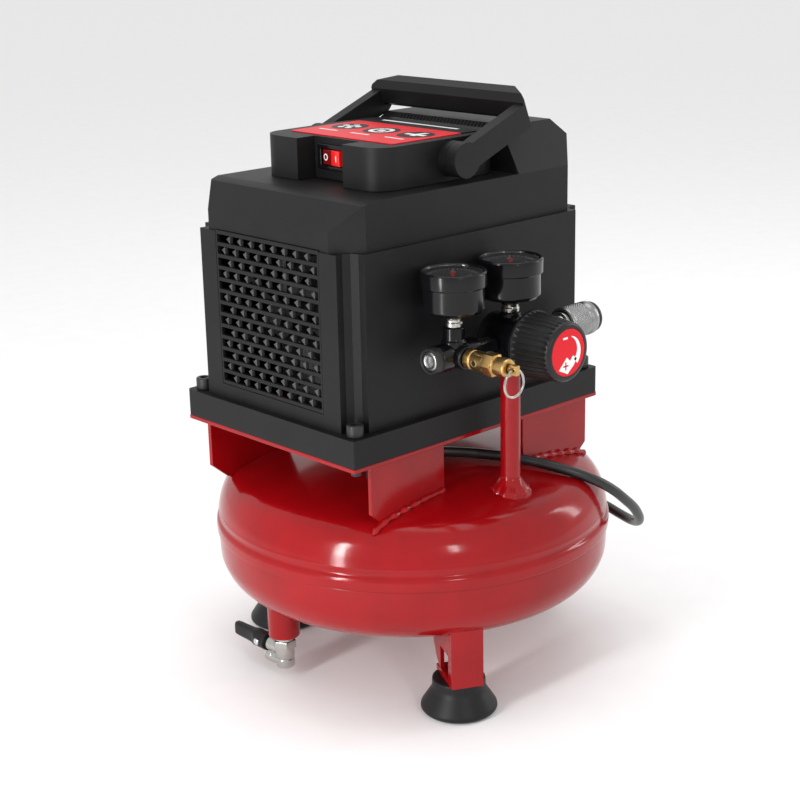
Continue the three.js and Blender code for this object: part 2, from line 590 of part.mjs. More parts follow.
function addMotor() {
  const y = SHROUD.y;
  const shaft = (r, x0, x1, segments = 20) => alongX(rod(r, x1 - x0, segments), x0, y, SHAFT_Z);
  const stator = box([-62, y - 38, SHAFT_Z - 38], [-12, y + 38, SHAFT_Z + 38]);
  const windings = alongX(rod(33, 62, 20), -68, y, SHAFT_Z);
  add("motor_stator", fromSolid(cut(join(stator, windings), shaft(24, -80, 10))), motorSteel);

  const crankX = CRANK_X - 9;
  const rotor = join(
    shaft(23.4, -60, -14), shaft(4, -104, crankX + 1, 12), shaft(15, crankX, crankX + 4),
    alongX(rod(3.5, 12, 12), crankX + 3, y + CRANK_THROW, SHAFT_Z),
  );
  add("motor_rotor", fromSolid(rotor), motorSteel);

  const blades = [0, 1, 2, 3, 4, 5].map((i) =>
    box([-5, -1.2, 9], [5, 1.2, 42]).rotateZ(0.5).rotateX(i * Math.PI / 3).translate(-94, y, SHAFT_Z));
  const fan = join(shaft(11, -101, -87), ...blades);
  add("cooling_fan", fromSolid(cut(fan, shaft(4.3, -106, -80, 12))), blackRubber);

  const base = DECK_Z + GAP;
  const plate = box([-86, y - 42, base], [72, y + 42, base + 3]);
  const cradle = box([-60, y - 30, base], [-14, y + 30, SHAFT_Z - 38 - GAP]);
  const bearings = [[-84, -78], [4, 12]].map(([x0, x1]) =>
    box([x0, y - 16, base], [x1, y + 16, SHAFT_Z + 16]));
  const crankcase = box([26, y - 28, base], [68, y + 28, SHAFT_Z + 26]);
  const cylinder = rod(25, 30, 20).translate(CRANK_X, y, SHAFT_Z + 24);
  const frame = cut(join(plate, cradle, ...bearings, crankcase, cylinder),
    shaft(4.3, -90, 40, 12),
    box([32, y - 22, SHAFT_Z - 26], [69, y + 22, SHAFT_Z + 22]),
    rod(20.4, 60, 20).translate(CRANK_X, y, SHAFT_Z + 20));
  add("pump_frame", fromSolid(frame), castAluminium);

  // The rod's lower end is an open fork, clear of the crank pin all the way round
  const crown = SHAFT_Z + CRANK_THROW + 3.5 + CRANK_THROW + 1;
  const prongs = [-13, 10].map((side) => box([CRANK_X - 4, y + side, SHAFT_Z - 2],
    [CRANK_X + 4, y + side + 3, crown + 4]));
  add("piston_rod", fromSolid(join(
    ...prongs,
    box([CRANK_X - 4, y - 13, crown], [CRANK_X + 4, y + 13, crown + 4]),
    rod(4, 20, 12).translate(CRANK_X, y, crown + 2),
    rod(20, 7, 20).translate(CRANK_X, y, crown + 18),
  )), castAluminium);

  const headZ = SHAFT_Z + 54 + GAP;
  const fins = [0, 1, 2, 3, 4].map((i) =>
    box([CRANK_X - 26, y - 24 + i * 11.5, headZ + 7], [CRANK_X + 26, y - 22 + i * 11.5, headZ + 15]));
  add("cylinder_head", fromSolid(join(
    box([CRANK_X - 27, y - 27, headZ], [CRANK_X + 27, y + 27, headZ + 8]), ...fins)), castAluminium);

  const { x: footX, y: footY, z: footZ } = TUBE_FOOT;
  add("discharge_tube", tubeAlong([
    [CRANK_X - 8, y + 27.4, headZ + 4], [CRANK_X - 8, y + 36, headZ + 4], [footX + 12, y + 45, headZ - 6],
    [footX + 2, y + 51, headZ - 24], [footX, footY, 240], [footX, footY, 200], [footX, footY, footZ],
  ], 3, 20, 6), copper);
}

// A round tube along a smooth curve through the points
function tubeAlong(points, r, steps, sides) {
  const ring = outline(Array.from({ length: sides }, (_, i) => {
    const a = i * 2 * Math.PI / sides;
    return [r * Math.cos(a), r * Math.sin(a)];
  }));
  const curve = new THREE.CatmullRomCurve3(points.map((p) => new THREE.Vector3(...p)), false, "centripetal");
  return new THREE.ExtrudeGeometry(ring, { steps, extrudePath: curve, bevelEnabled: false });
}

// Power cord: out of a boot under the platform, over the tank's shoulder, out past its side, then
// down round the back to the floor, where the spare length is coiled

const BOOT = { x: -64, y: -44, z: 151, length: 28 };
const COIL = { x: 108, y: 128, inner: 26.3, outer: 45.7, z0: 0.95, z1: 13.85 };

const cordRoute = [
  [BOOT.x + BOOT.length + GAP, BOOT.y, BOOT.z], [-28, -44, 150.6], [-16, -44, 148], [-4, -46.5, 145.2],
  [8, -53, 142.8], [19.5, -64, 140.6], [29, -76.5, 138.2], [38, -88.5, 135], [47.5, -99, 130.6],
  [58, -106.8, 124.6], [69, -110.5, 116.8], [80, -110.5, 108], [92, -108.5, 98.5], [103, -104, 88.5],
  [113, -96, 80], [121, -84, 75], [127, -68.5, 74], [131.5, -49, 75], [134, -26, 73], [135, -2, 67],
  [136, 22, 55.5], [138, 44, 40], [142, 66, 24], [148, 87, 11], [153.6, 104, 4.6],
  [156.4, 116, CORD_R + 0.2],
];

function addCordSet() {
  add("power_cord", tubeAlong(cordRoute, CORD_R, 50, 8), blackRubber);
  add("strain_relief", fromSolid(join(
    box([BOOT.x - 8, BOOT.y - 8, BOOT.z - 8], [BOOT.x + 1, BOOT.y + 8, DECK_Z - DECK_T - GAP]),
    alongX(turned([[0, 0], [7, 0], [7, 4], [6.2, 5], [4.2, BOOT.length], [0, BOOT.length]], 16),
      BOOT.x, BOOT.y, BOOT.z),
  )), blackRubber);

  const { x, y, inner, outer, z0, z1 } = COIL;
  add("cord_coil", turned([
    [inner, z0], [outer, z0], [outer, z1], [inner, z1], [inner, z0],
  ], 32).translate(x, y, 0), blackRubber);
  const band = box([x - 3, y - outer - 0.9, z0 - 0.9], [x + 3, y - inner + 1.2, z1 + 0.9]);
  const bandHole = box([x - 4, y - outer - 0.3, z0 - 0.3], [x + 4, y - inner + 0.6, z1 + 0.3]);
  add("coil_tie", fromSolid(cut(toSolid(band), bandHole)), blackRubber);

  // Plug lying on the coil: boot, body, two flat blades and a round pin
  const [bootEnd, plugY, plugZ] = [x + 14, y + 27, z1 + GAP + 9];
  const blade = (side) => box([bootEnd - 68, plugY + side - 0.8, plugZ - 3], [bootEnd - 46,
    plugY + side + 0.8, plugZ + 3.2]);
  add("mains_plug", fromSolid(join(
    alongX(turned([[0, 0], [5.8, 0], [4.2, 24], [0, 24]], 12), bootEnd - 24, plugY, plugZ),
    box([bootEnd - 48, plugY - 12, plugZ - 9], [bootEnd - 22, plugY + 12, plugZ + 9]),
    blade(-6.35), blade(6.35), alongX(rod(2.4, 21), bootEnd - 67, plugY, plugZ - 6),
  )), blackRubber);
}

addTank();
addFeet();
addPlatform();
addShroud();
addGrille();
addConsole();
addHandle();
addPost();
addLine();
addDrain();
addMotor();
addCordSet();

// Centre the outline over the origin, leaving out the power cord
const cordNodes = ["power_cord", "strain_relief", "cord_coil", "coil_tie", "mains_plug"];
compressor.updateMatrixWorld(true);
const outer = new THREE.Box3();
compressor.traverse((piece) => {
  if (piece.isMesh && !cordNodes.includes(piece.name)) outer.expandByObject(piece, true);
});
const middle = outer.getCenter(new THREE.Vector3());
compressor.position.set(-middle.x, -middle.y, -outer.min.z);

export default compressor;
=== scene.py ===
import json
import math

import bmesh
import bpy
from mathutils import Matrix, Vector

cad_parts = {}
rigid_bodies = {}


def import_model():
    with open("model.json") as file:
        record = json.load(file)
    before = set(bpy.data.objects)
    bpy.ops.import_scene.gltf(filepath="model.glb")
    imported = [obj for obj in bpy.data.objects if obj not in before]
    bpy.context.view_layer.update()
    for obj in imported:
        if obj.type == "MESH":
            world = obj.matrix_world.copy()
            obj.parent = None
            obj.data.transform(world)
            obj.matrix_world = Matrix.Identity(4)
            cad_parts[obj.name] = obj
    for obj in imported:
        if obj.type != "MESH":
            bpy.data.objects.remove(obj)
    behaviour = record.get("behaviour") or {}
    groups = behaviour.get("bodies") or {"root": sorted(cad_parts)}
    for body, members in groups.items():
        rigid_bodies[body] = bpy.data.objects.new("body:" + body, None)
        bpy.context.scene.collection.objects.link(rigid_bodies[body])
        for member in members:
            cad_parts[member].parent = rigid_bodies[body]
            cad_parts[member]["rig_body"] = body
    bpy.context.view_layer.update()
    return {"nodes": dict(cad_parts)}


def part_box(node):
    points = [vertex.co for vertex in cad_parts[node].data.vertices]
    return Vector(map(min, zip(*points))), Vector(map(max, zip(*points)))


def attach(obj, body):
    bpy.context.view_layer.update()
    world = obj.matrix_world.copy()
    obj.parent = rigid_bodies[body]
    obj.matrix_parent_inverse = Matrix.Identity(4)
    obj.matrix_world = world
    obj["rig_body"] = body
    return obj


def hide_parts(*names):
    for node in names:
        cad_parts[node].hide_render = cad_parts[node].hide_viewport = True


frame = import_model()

print("frame loaded:", len(frame["nodes"]), "nodes")

# Everything below is laid out in millimetres from the tank's own axis
tankLow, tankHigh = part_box("tank_upper_shell")
axisX = (tankLow.x + tankHigh.x) / 2
axisY = (tankLow.y + tankHigh.y) / 2


def at(x, y, z):  # from millimetres to the frame's metres
    return Vector((axisX + x / 1000, axisY + y / 1000, z / 1000))


def boxOf(node):  # a node's low and high corners in millimetres
    return [((c.x - axisX) * 1000, (c.y - axisY) * 1000, c.z * 1000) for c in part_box(node)]


# Camera

camera = {"azimuth": -43.12, "elevation": 17.09, "distance": 1.0627, "lens": 75.1, "sensor": 36,
          "clip": (0.05, 20), "sideStep": -0.00665, "aimHeight": 0.16846, "roll": -1.205}


def makeCamera():
    turn, rise = math.radians(camera["azimuth"]), math.radians(camera["elevation"])
    back = Vector((math.sin(turn) * math.cos(rise), -math.cos(turn) * math.cos(rise), math.sin(rise)))
    right = (-back).cross(Vector((0, 0, 1))).normalized()
    up = right.cross(-back)
    aim = at(0, 0, 0) + Vector((0, 0, camera["aimHeight"])) + right * camera["sideStep"]
    lean = math.radians(camera["roll"])
    across = right * math.cos(lean) + up * math.sin(lean)
    over = up * math.cos(lean) - right * math.sin(lean)
    data = bpy.data.cameras.new("studioCamera")
    data.lens = camera["lens"]
    data.sensor_width = camera["sensor"]
    data.clip_start, data.clip_end = camera["clip"]
    eye = bpy.data.objects.new("studioCamera", data)
    place = Matrix((across, over, back)).transposed().to_4x4()
    place.translation = aim + back * camera["distance"]
    eye.matrix_world = place
    bpy.context.scene.collection.objects.link(eye)
    bpy.context.scene.camera = eye


makeCamera()

# Materials: slot is the record's material slot; grain and peel are (bump strength, noise scale)

finishes = {
    "redEnamel": {"slot": "red_enamel", "color": (0.27, 0.0025, 0.0045), "rough": 0.14, "specular": 0.32,
                  "peel": (0.05, 260), "shade": 0.1},
    "charcoal": {"slot": "charcoal_plastic", "color": (0.0085, 0.0080, 0.0084), "rough": 0.47,
                 "specular": 0.2, "grain": (0.16, 2600), "shade": 0.2},
    # painted highlight: a lighter, shinier copy of the charcoal, for the light the grille's posts catch
    "charcoalPaintedHighlight": {"slot": "charcoal_plastic", "color": (0.045, 0.044, 0.045), "rough": 0.4,
                     "specular": 0.4, "grain": (0.1, 2600), "shade": 0.2},
    "blackGloss": {"slot": "gloss_black", "color": (0.004, 0.004, 0.005), "rough": 0.16, "specular": 0.3,
                   "peel": (0.02, 500), "shade": 0.1},
    "knobBlack": {"slot": "gloss_black", "color": (0.007, 0.007, 0.007), "rough": 0.36, "specular": 0.35,
                  "grain": (0.08, 2000), "shade": 0.15},
    "rubber": {"slot": "black_rubber", "color": (0.008, 0.008, 0.0085), "rough": 0.45, "specular": 0.25,
               "grain": (0.12, 1500), "shade": 0.25},
    "cordJacket": {"slot": "black_rubber", "color": (0.010, 0.010, 0.011), "rough": 0.33,
                   "grain": (0.04, 900), "shade": 0.15},
    "nickel": {"slot": "nickel_plate", "color": (0.46, 0.45, 0.43), "metal": 1, "rough": 0.22,
               "grain": (0.03, 900), "shade": 0.12},
    "knurledSteel": {"slot": "nickel_plate", "color": (0.30, 0.30, 0.30), "metal": 1, "rough": 0.34,
                     "grain": (0.06, 1500), "shade": 0.2},
    "brass": {"slot": "brass", "color": (0.60, 0.38, 0.14), "metal": 1, "rough": 0.3,
              "grain": (0.04, 900), "shade": 0.2},
    "blackOxide": {"slot": "black_oxide_steel", "color": (0.020, 0.020, 0.022), "metal": 0.3, "rough": 0.4,
                   "grain": (0.05, 1500), "shade": 0.2},
    "zinc": {"slot": "zinc_plate", "color": (0.60, 0.61, 0.62), "metal": 1, "rough": 0.3,
             "grain": (0.05, 1200), "shade": 0.15},
    "castAluminium": {"slot": "cast_aluminium", "color": (0.20, 0.205, 0.21), "metal": 1, "rough": 0.48,
                      "grain": (0.2, 1400), "shade": 0.15},
    "motorSteel": {"slot": "motor_steel", "color": (0.07, 0.073, 0.078), "metal": 1, "rough": 0.45,
                   "grain": (0.1, 1200), "shade": 0.15},
    "copper": {"slot": "copper_tube", "color": (0.62, 0.27, 0.12), "metal": 1, "rough": 0.3,
               "grain": (0.04, 900), "shade": 0.2},
    "labelRed": {"slot": "label_film", "color": (0.70, 0.004, 0.014), "rough": 0.4, "specular": 0.25,
                 "grain": (0.02, 1500), "shade": 0.04},
    "labelBlack": {"slot": "gloss_black", "color": (0.006, 0.006, 0.006), "rough": 0.4, "specular": 0.2,
                   "grain": (0.02, 1500), "shade": 0.04},
    "labelWhite": {"slot": "label_film", "color": (0.85, 0.85, 0.85), "rough": 0.4,
                   "grain": (0.02, 1500), "shade": 0.03},
    "dialFace": {"slot": "gloss_black", "color": (0.016, 0.016, 0.019), "rough": 0.5,
                 "grain": (0.03, 2000), "shade": 0.1},
    "needlePaint": {"slot": "needle_paint", "color": (0.60, 0.02, 0.015), "rough": 0.4,
                    "grain": (0.02, 1500), "shade": 0.05},
    "floorPaper": {"color": (0.93, 0.93, 0.93), "rough": 0.9, "specular": 0.1,
                   "grain": (0.02, 300), "shade": 0.01},
}
surface = {"driftScale": 38, "driftDetail": 5, "rampEnds": (0.3, 0.7), "roughSpread": 0.15,
           "bumpDepth": 0.0006}
materials = {}


def newMaterial(name):
    made = bpy.data.materials.new(name)
    made.use_nodes = True
    materials[name] = made
    return made.node_tree, made.node_tree.nodes["Principled BSDF"]


def addNoise(tree, scale, detail=2, place=None):
    noise = tree.nodes.new("ShaderNodeTexNoise")
    noise.inputs["Scale"].default_value = scale
    noise.inputs["Detail"].default_value = detail
    if place:
        tree.links.new(place, noise.inputs["Vector"])
    return noise.outputs["Fac"]


# Roughness drifts with a noise, by a share of itself either way
def driftRough(tree, shader, noise, rough, share):
    spread = tree.nodes.new("ShaderNodeMapRange")
    spread.inputs["To Min"].default_value = rough * (1 - share)
    spread.inputs["To Max"].default_value = rough * (1 + share)
    tree.links.new(noise, spread.inputs["Value"])
    tree.links.new(spread.outputs["Result"], shader.inputs["Roughness"])


# Colour drifts a little with a soft noise; the bump is a fine grain or the slow ripple of sprayed paint
def makeFinish(name):
    look = finishes[name]
    tree, shader = newMaterial(name)
    shader.inputs["Metallic"].default_value = look.get("metal", 0)
    shader.inputs["Specular IOR Level"].default_value = look.get("specular", 0.5)
    place = tree.nodes.new("ShaderNodeTexCoord").outputs["Object"]
    drift = addNoise(tree, surface["driftScale"], surface["driftDetail"], place)
    ramp = tree.nodes.new("ShaderNodeValToRGB")
    for stop, end, sign in zip(ramp.color_ramp.elements, surface["rampEnds"], (-1, 1)):
        stop.color = [min(1, c * (1 + sign * look["shade"])) for c in look["color"]] + [1]
        stop.position = end
    tree.links.new(drift, ramp.inputs["Fac"])
    tree.links.new(ramp.outputs["Color"], shader.inputs["Base Color"])
    driftRough(tree, shader, drift, look["rough"], surface["roughSpread"])
    strength, scale = look["peel"] if "peel" in look else look["grain"]
    bump = tree.nodes.new("ShaderNodeBump")
    bump.inputs["Strength"].default_value = strength
    bump.inputs["Distance"].default_value = surface["bumpDepth"]
    tree.links.new(addNoise(tree, scale, 3 if "peel" in look else 2, place), bump.inputs["Height"])
    tree.links.new(bump.outputs["Normal"], shader.inputs["Normal"])


for finishName in finishes:
    makeFinish(finishName)

clearFinishes = {
    "clearLens": {"slot": "clear_lens", "color": (0.95, 0.97, 0.98), "rough": 0.03, "through": 1, "glow": 0},
    # painted light: the rocker's red glows a little, though no lamp is in it
    "rockerPaintedGlow": {"slot": "red_plastic", "color": (0.80, 0.012, 0.010), "rough": 0.16, "through": 0.25,
                  "glow": 0.2},
    # painted shade: a darker copy of the rocker's red, for its other half
    "rockerPaintedShade": {"color": (0.20, 0.006, 0.006), "rough": 0.16, "through": 0.25, "glow": 0},
}
clearBody = {"ior": 1.49, "hazeScale": 240, "roughSpread": 0.3}


def makeClearFinish(name):
    look = clearFinishes[name]
    tree, shader = newMaterial(name)
    shader.inputs["Base Color"].default_value = (*look["color"], 1)
    shader.inputs["Transmission Weight"].default_value = look["through"]
    shader.inputs["IOR"].default_value = clearBody["ior"]
    shader.inputs["Emission Color"].default_value = (*look["color"], 1)
    shader.inputs["Emission Strength"].default_value = look["glow"]
    driftRough(tree, shader, addNoise(tree, clearBody["hazeScale"]), look["rough"], clearBody["roughSpread"])


for finishName in clearFinishes:
    makeClearFinish(finishName)
slots = {name: look.get("slot") for name, look in {**finishes, **clearFinishes}.items()}
print("materials made:", len(materials))

# Mesh helpers


# Every piece goes through here: its body and what it stands for
def settle(piece, body, slotName, replaced=()):
    bpy.context.scene.collection.objects.link(piece)
    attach(piece, body)
    if replaced:
        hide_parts(*replaced)
    return piece


def keep(mesh, name, finish, body="base", replaced=(), slotName=None, smoothAngle=35):
    mesh.materials.clear()
    mesh.materials.append(materials[finish])
    mesh.shade_smooth()
    mesh.set_sharp_from_angle(angle=math.radians(smoothAngle))
    return settle(bpy.data.objects.new(name, mesh), body, slotName or slots[finish], replaced)


def meshOf(build, name):
    work = bmesh.new()
    build(work)
    bmesh.ops.recalc_face_normals(work, faces=work.faces)
    mesh = bpy.data.meshes.new(name)
    work.to_mesh(mesh)
    work.free()
    return mesh


def softenEdges(piece, width, segments=2, angle=28):
    bevel = piece.modifiers.new("softEdge", "BEVEL")
    bevel.width = width / 1000
    bevel.segments = segments
    bevel.limit_method = "ANGLE"
    bevel.angle_limit = math.radians(angle)
    bevel.miter_outer = "MITER_ARC"
    normals = piece.modifiers.new("evenShade", "WEIGHTED_NORMAL")
    normals.weight = 80


# A CAD piece of the right shape, carried over with flat faces merged and its edges rounded
def carryOver(node, name, finish, width, segments=2, angle=28, smoothAngle=50):
    source = frame["nodes"][node]
    work = bmesh.new()
    work.from_mesh(source.data)
    bmesh.ops.remove_doubles(work, verts=work.verts, dist=2e-6)
    bmesh.ops.join_triangles(work, faces=work.faces, angle_face_threshold=math.radians(0.5),
                             angle_shape_threshold=math.pi, cmp_seam=False, cmp_sharp=False)
    mesh = bpy.data.meshes.new(name)
    work.to_mesh(mesh)
    work.free()
    piece = keep(mesh, name, finish, source["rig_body"], [node], None, smoothAngle)
    if width:
        softenEdges(piece, width, segments, angle)
    return piece


# Rings of points joined into a skin; a ring of one point closes to a tip
def skin(work, rings, capped=False):
    made = [[work.verts.new(p) for p in ring] for ring in rings]
    for low, high in zip(made, made[1:]):
        count = max(len(low), len(high))
        for i in range(count):
            j = (i + 1) % count
            if len(low) == 1:
                work.faces.new((low[0], high[i], high[j]))
            elif len(high) == 1:
                work.faces.new((low[i], low[j], high[0]))
            else:
                work.faces.new((low[i], low[j], high[j], high[i]))
    if capped:
        work.faces.new(made[0])
        work.faces.new(made[-1][::-1])
    return made


# Which way a turned piece's axis points
upright = Matrix.Identity(3)
alongX = Matrix(((0, 0, 1), (0, 1, 0), (-1, 0, 0)))
alongLeft = Matrix(((0, 0, -1), (0, 1, 0), (1, 0, 0)))
alongFront = Matrix(((1, 0, 0), (0, 0, -1), (0, 1, 0)))
alongBack = Matrix(((1, 0, 0), (0, 0, 1), (0, -1, 0)))


# Profile of (radius, height) turned about the axis; shape(angle, radius, height) may vary the radius
def turned(name, profile, centre, finish, lay=upright, sides=64, shape=None, **how):
    origin = at(*centre)

    def build(work):
        rings = []
        for radius, height in profile:
            if radius <= 1e-6:
                rings.append([origin + lay @ Vector((0, 0, height / 1000))])
                continue
            ring = []
            for i in range(sides):
                angle = i * 2 * math.pi / sides
                r = shape(angle, radius, height) if shape else radius
                ring.append(origin + lay @ Vector((r * math.cos(angle), r * math.sin(angle), height)) / 1000)
            rings.append(ring)
        closedLoop = profile[0] == profile[-1]
        made = skin(work, rings[:-1] if closedLoop else rings)
        if closedLoop:
            first, last = made[0], made[-1]
            for i in range(sides):
                j = (i + 1) % sides
                work.faces.new((last[i], last[j], first[j], first[i]))
    return keep(meshOf(build, name), name, finish, **how)


# Six flats on a turned piece, between two heights
def hexSides(scale=1, low=-math.inf, high=math.inf):
    def shape(angle, radius, height):
        if low <= height < high:
            return radius / math.cos((angle % (math.pi / 3)) - math.pi / 6) * scale
        return radius
    return shape


def block(name, low, high, finish, **how):
    def build(work):
        a, b = at(*low), at(*high)
        bmesh.ops.create_cube(work, size=1)
        for v in work.verts:
            v.co = Vector([a[k] if v.co[k] < 0 else b[k] for k in range(3)])
    return keep(meshOf(build, name), name, finish, **how)


# Flat artwork: outlines in (u, v) laid on a surface and given a small thickness
def artwork(name, outlines, toPoint, thickness, finish, **how):
    def build(work):
        for points in outlines:
            skin(work, [[toPoint(u, v, h) for u, v in points] for h in (0, thickness)], capped=True)
    return keep(meshOf(build, name), name, finish, **how)


# A corner rounded by a short curve from one side of it to the other
def cornerArc(before, here, after, reach, steps):
    start = here + (before - here).normalized() * reach
    end = here + (after - here).normalized() * reach
    for k in range(steps + 1):
        t = k / steps
        yield start * (1 - t) ** 2 + here * 2 * t * (1 - t) + end * t * t


def rounded(points, radius, steps=5):
    corners = [Vector(p) for p in points]
    out = []
    for i, here in enumerate(corners):
        after = corners[(i + 1) % len(corners)]
        out += [(p.x, p.y) for p in cornerArc(corners[i - 1], here, after, radius, steps)]
    return out


def bar(u0, v0, u1, v1):
    return [(u0, v0), (u1, v0), (u1, v1), (u0, v1)]


def circle(cx, cy, r, sides=40):
    turns = [2 * math.pi * i / sides for i in range(sides)]
    return [(cx + r * math.cos(a), cy + r * math.sin(a)) for a in turns]


# Profile corners eased by short arcs, so turned pieces catch light on their edges
def eased(profile, radius, steps=3):
    out = [profile[0]]
    for before, here, after in zip(profile, profile[1:], profile[2:]):
        a, h, b = Vector(before), Vector(here), Vector(after)
        reach = min(radius, (a - h).length * 0.45, (b - h).length * 0.45)
        out += [(max(p.x, 0), p.y) for p in cornerArc(a, h, b, reach, steps)]
    out.append(profile[-1])
    return out


# Power cord: run over the tank's shoulder and down behind, six coil turns, plug on the coil

cord = {"radius": 3.2, "coil": (108, 128), "turnRadii": (42.5, 36.0, 29.6), "perTurn": 24,
        "floorLayer": 4.15, "topLayer": 10.6, "easeFrom": 0.72, "lastRise": 7.2, "leadHeight": 18.2,
        "leadBend": 27, "plugEnd": (122, 155, 23.15)}
cordRun = [
    (-35.7, -44, 151), (-28, -44, 150.6), (-16, -44, 148), (-4, -46.5, 145.2), (8, -53, 142.8),
    (19.5, -64, 140.6), (29, -76.5, 138.2), (38, -88.5, 135), (47.5, -99, 130.6), (58, -106.8, 124.6),
    (69, -110.5, 116.8), (80, -110.5, 108), (92, -108.5, 98.5), (103, -104, 88.5), (113, -96, 80),
    (121, -84, 75), (127, -68.5, 74), (131.5, -49, 75), (134, -26, 73), (135, -2, 67), (136, 22, 55.5),
    (138, 44, 40), (142, 66, 24), (147.5, 87, 11), (151.5, 104, 5.2), (151.8, 116, 4.15),
]


# Three turns inwards on the floor and three outwards on top, each easing into the next near its end
def coilPoints():
    cx, cy = cord["coil"]
    radii, easeFrom = cord["turnRadii"], cord["easeFrom"]
    plan = [(r, cord["floorLayer"]) for r in radii] + [(r, cord["topLayer"]) for r in radii[::-1]]
    points = []
    for index, (r, height) in enumerate(plan):
        last = index == len(plan) - 1
        nextR, nextHeight = plan[index if last else index + 1]
        for k in range(cord["perTurn"]):
            t = k / cord["perTurn"]
            late = max(0, (t - easeFrom) / (1 - easeFrom))
            ease = late * late * (3 - 2 * late)
            turnR = r + (nextR - r) * ease
            turnHeight = height + (nextHeight - height) * ease
            if last:
                turnHeight += cord["lastRise"] * late ** 1.5
            a = 2 * math.pi * t
            points.append((cx + turnR * math.cos(a), cy + turnR * math.sin(a), turnHeight))
    # off the top turn, round to the left and into the plug's boot
    ex, ey, ez = cord["plugEnd"]
    bend, lead = cord["leadBend"], cord["leadHeight"]
    for k in range(7):
        a = math.radians(90 * k / 6)
        points.append((cx + radii[0] - bend + bend * math.cos(a), ey - bend + bend * math.sin(a),
                       lead + (ez - lead) * k / 6))
    points.append((ex + 0.2, ey, ez))
    return points


# A smooth curve through all the points
def smoothed(points, steps):
    out = []
    padded = [points[0]] + points + [points[-1]]
    for i in range(1, len(padded) - 2):
        p0, p1, p2, p3 = [Vector(p) for p in padded[i - 1:i + 3]]
        for k in range(steps):
            t = k / steps
            out.append(0.5 * (2 * p1 + (p2 - p0) * t + (2 * p0 - 5 * p1 + 4 * p2 - p3) * t * t
                              + (3 * p1 - p0 - 3 * p2 + p3) * t ** 3))
    out.append(Vector(points[-1]))
    return out


def makeCord():
    line = smoothed(cordRun + coilPoints(), 4)
    length = sum((b - a).length for a, b in zip(line, line[1:])) / 1000
    curve = bpy.data.curves.new("powerCord", "CURVE")
    curve.dimensions = "3D"
    spline = curve.splines.new("POLY")
    spline.points.add(len(line) - 1)
    for point, p in zip(spline.points, line):
        point.co = (*at(*p), 1)
    curve.bevel_depth = cord["radius"] / 1000
    curve.bevel_resolution = 5
    curve.use_fill_caps = True
    curve.materials.append(materials["cordJacket"])
    piece = bpy.data.objects.new("powerCord", curve)
    return settle(piece, "base", slots["cordJacket"], ["power_cord", "cord_coil"]), length


plug = {"ribs": 6, "ribPitch": 4, "halfBody": (12, 9), "bodyFrom": -48, "bodyTo": -22, "bladeGap": 6.35}


def makePlug():
    ex, ey, ez = cord["plugEnd"]
    halfY, halfZ = plug["halfBody"]
    profile = [(0, 0)]
    for k in range(plug["ribs"]):
        h = k * plug["ribPitch"]
        r = 4.2 + 1.5 * k / 5
        profile += [(r, h + 0.2), (r, h + 2.6), (r - 0.9, h + 2.9), (r - 0.9, h + 3.9)]
    profile += [(5.8, 24), (0, 24)]
    pieces = [turned("plugBoot", profile, (ex, ey, ez), "rubber", alongLeft, 32)]
    body = block("plugBody", (ex + plug["bodyFrom"], ey - halfY, ez - halfZ),
                 (ex + plug["bodyTo"], ey + halfY, ez + halfZ), "rubber", replaced=["mains_plug"])
    softenEdges(body, 3.5, 4)
    pieces.append(body)
    for i, side in enumerate((-plug["bladeGap"], plug["bladeGap"])):
        blade = block(f"plugBlade{i}", (ex - 68, ey + side - 0.8, ez - 3),
                      (ex - 47, ey + side + 0.8, ez + 3.2), "brass")
        softenEdges(blade, 0.4)
        pieces.append(blade)
    pin = eased([(0, 0), (2.4, 0), (2.4, 21), (0, 21)], 1)
    return pieces + [turned("plugPin", pin, (ex - 46.5, ey, ez - 6), "brass", alongLeft, 24)]


cordPiece, cordLength = makeCord()
plugPieces = makePlug()
tie = carryOver("coil_tie", "coilTie", "rubber", 0.3)
gland = carryOver("strain_relief", "cordGland", "rubber", 0.8)
at(*cordRun[0])
print("cord made:", round(cordLength, 3), "m")

# Tank

tank = {"sides": 160,
        "dome": [(125, 103), (123.6, 110), (120.5, 117.5), (115.5, 123.5), (107, 128), (84, 133), (45, 138),
                 (0, 140.5)],
        "lip": [(124.5, 90), (126.5, 90), (126.5, 96), (126.0, 97.4), (124.5, 99), (124.4, 101),
                (125, 103.5)],
        "bowl": [(0, 45.5), (60, 47), (93, 49.8), (109, 54.2), (118.8, 61.5), (123.9, 71), (125, 80),
                 (125, 89.7)]}


def dense(profile, steps=5):
    return [(max(p.x, 0), p.y) for p in smoothed([(*q, 0) for q in profile], steps)]


def makeTank():
    upper = [(124.5, 93)] + eased(tank["lip"], 0.8, 4) + dense(tank["dome"])[1:]
    turned("tankUpper", upper, (0, 0, 0), "redEnamel", sides=tank["sides"], replaced=["tank_upper_shell"],
           smoothAngle=40)
    lower = dense(tank["bowl"]) + [(124, 92)]
    turned("tankLower", lower, (0, 0, 0), "redEnamel", sides=tank["sides"], replaced=["tank_lower_shell"],
           smoothAngle=40)


def domeHeight(r):
    dome = tank["dome"][::-1]
    for (r0, z0), (r1, z1) in zip(dome, dome[1:]):
        if r0 <= r <= r1:
            return z0 + (z1 - z0) * (r - r0) / (r1 - r0)


weld = {"radius": 2.1, "lift": 0.7, "out": 1.9, "within": 118, "steps": 25}


# A lumpy bead of weld along a line of points
def weldBead(name, points):
    def build(work):
        rings = []
        last = len(points) - 1
        for i, p in enumerate(points):
            here = Vector(p)
            ahead = Vector(points[min(i + 1, last)]) - Vector(points[max(i - 1, 0)])
            ahead.normalize()
            side = ahead.orthogonal().normalized()
            over = ahead.cross(side)
            r = weld["radius"] * (1 + 0.3 * math.sin(i * 1.9) + 0.16 * math.sin(i * 4.7))
            if i in (0, last):
                r *= 0.3
            rings.append([at(*(here + (side * math.cos(a) + over * math.sin(a)) * r))
                          for a in [k * math.pi / 5 for k in range(10)]])
        skin(work, rings, capped=True)
    keep(meshOf(build, name), name, "redEnamel", smoothAngle=80)


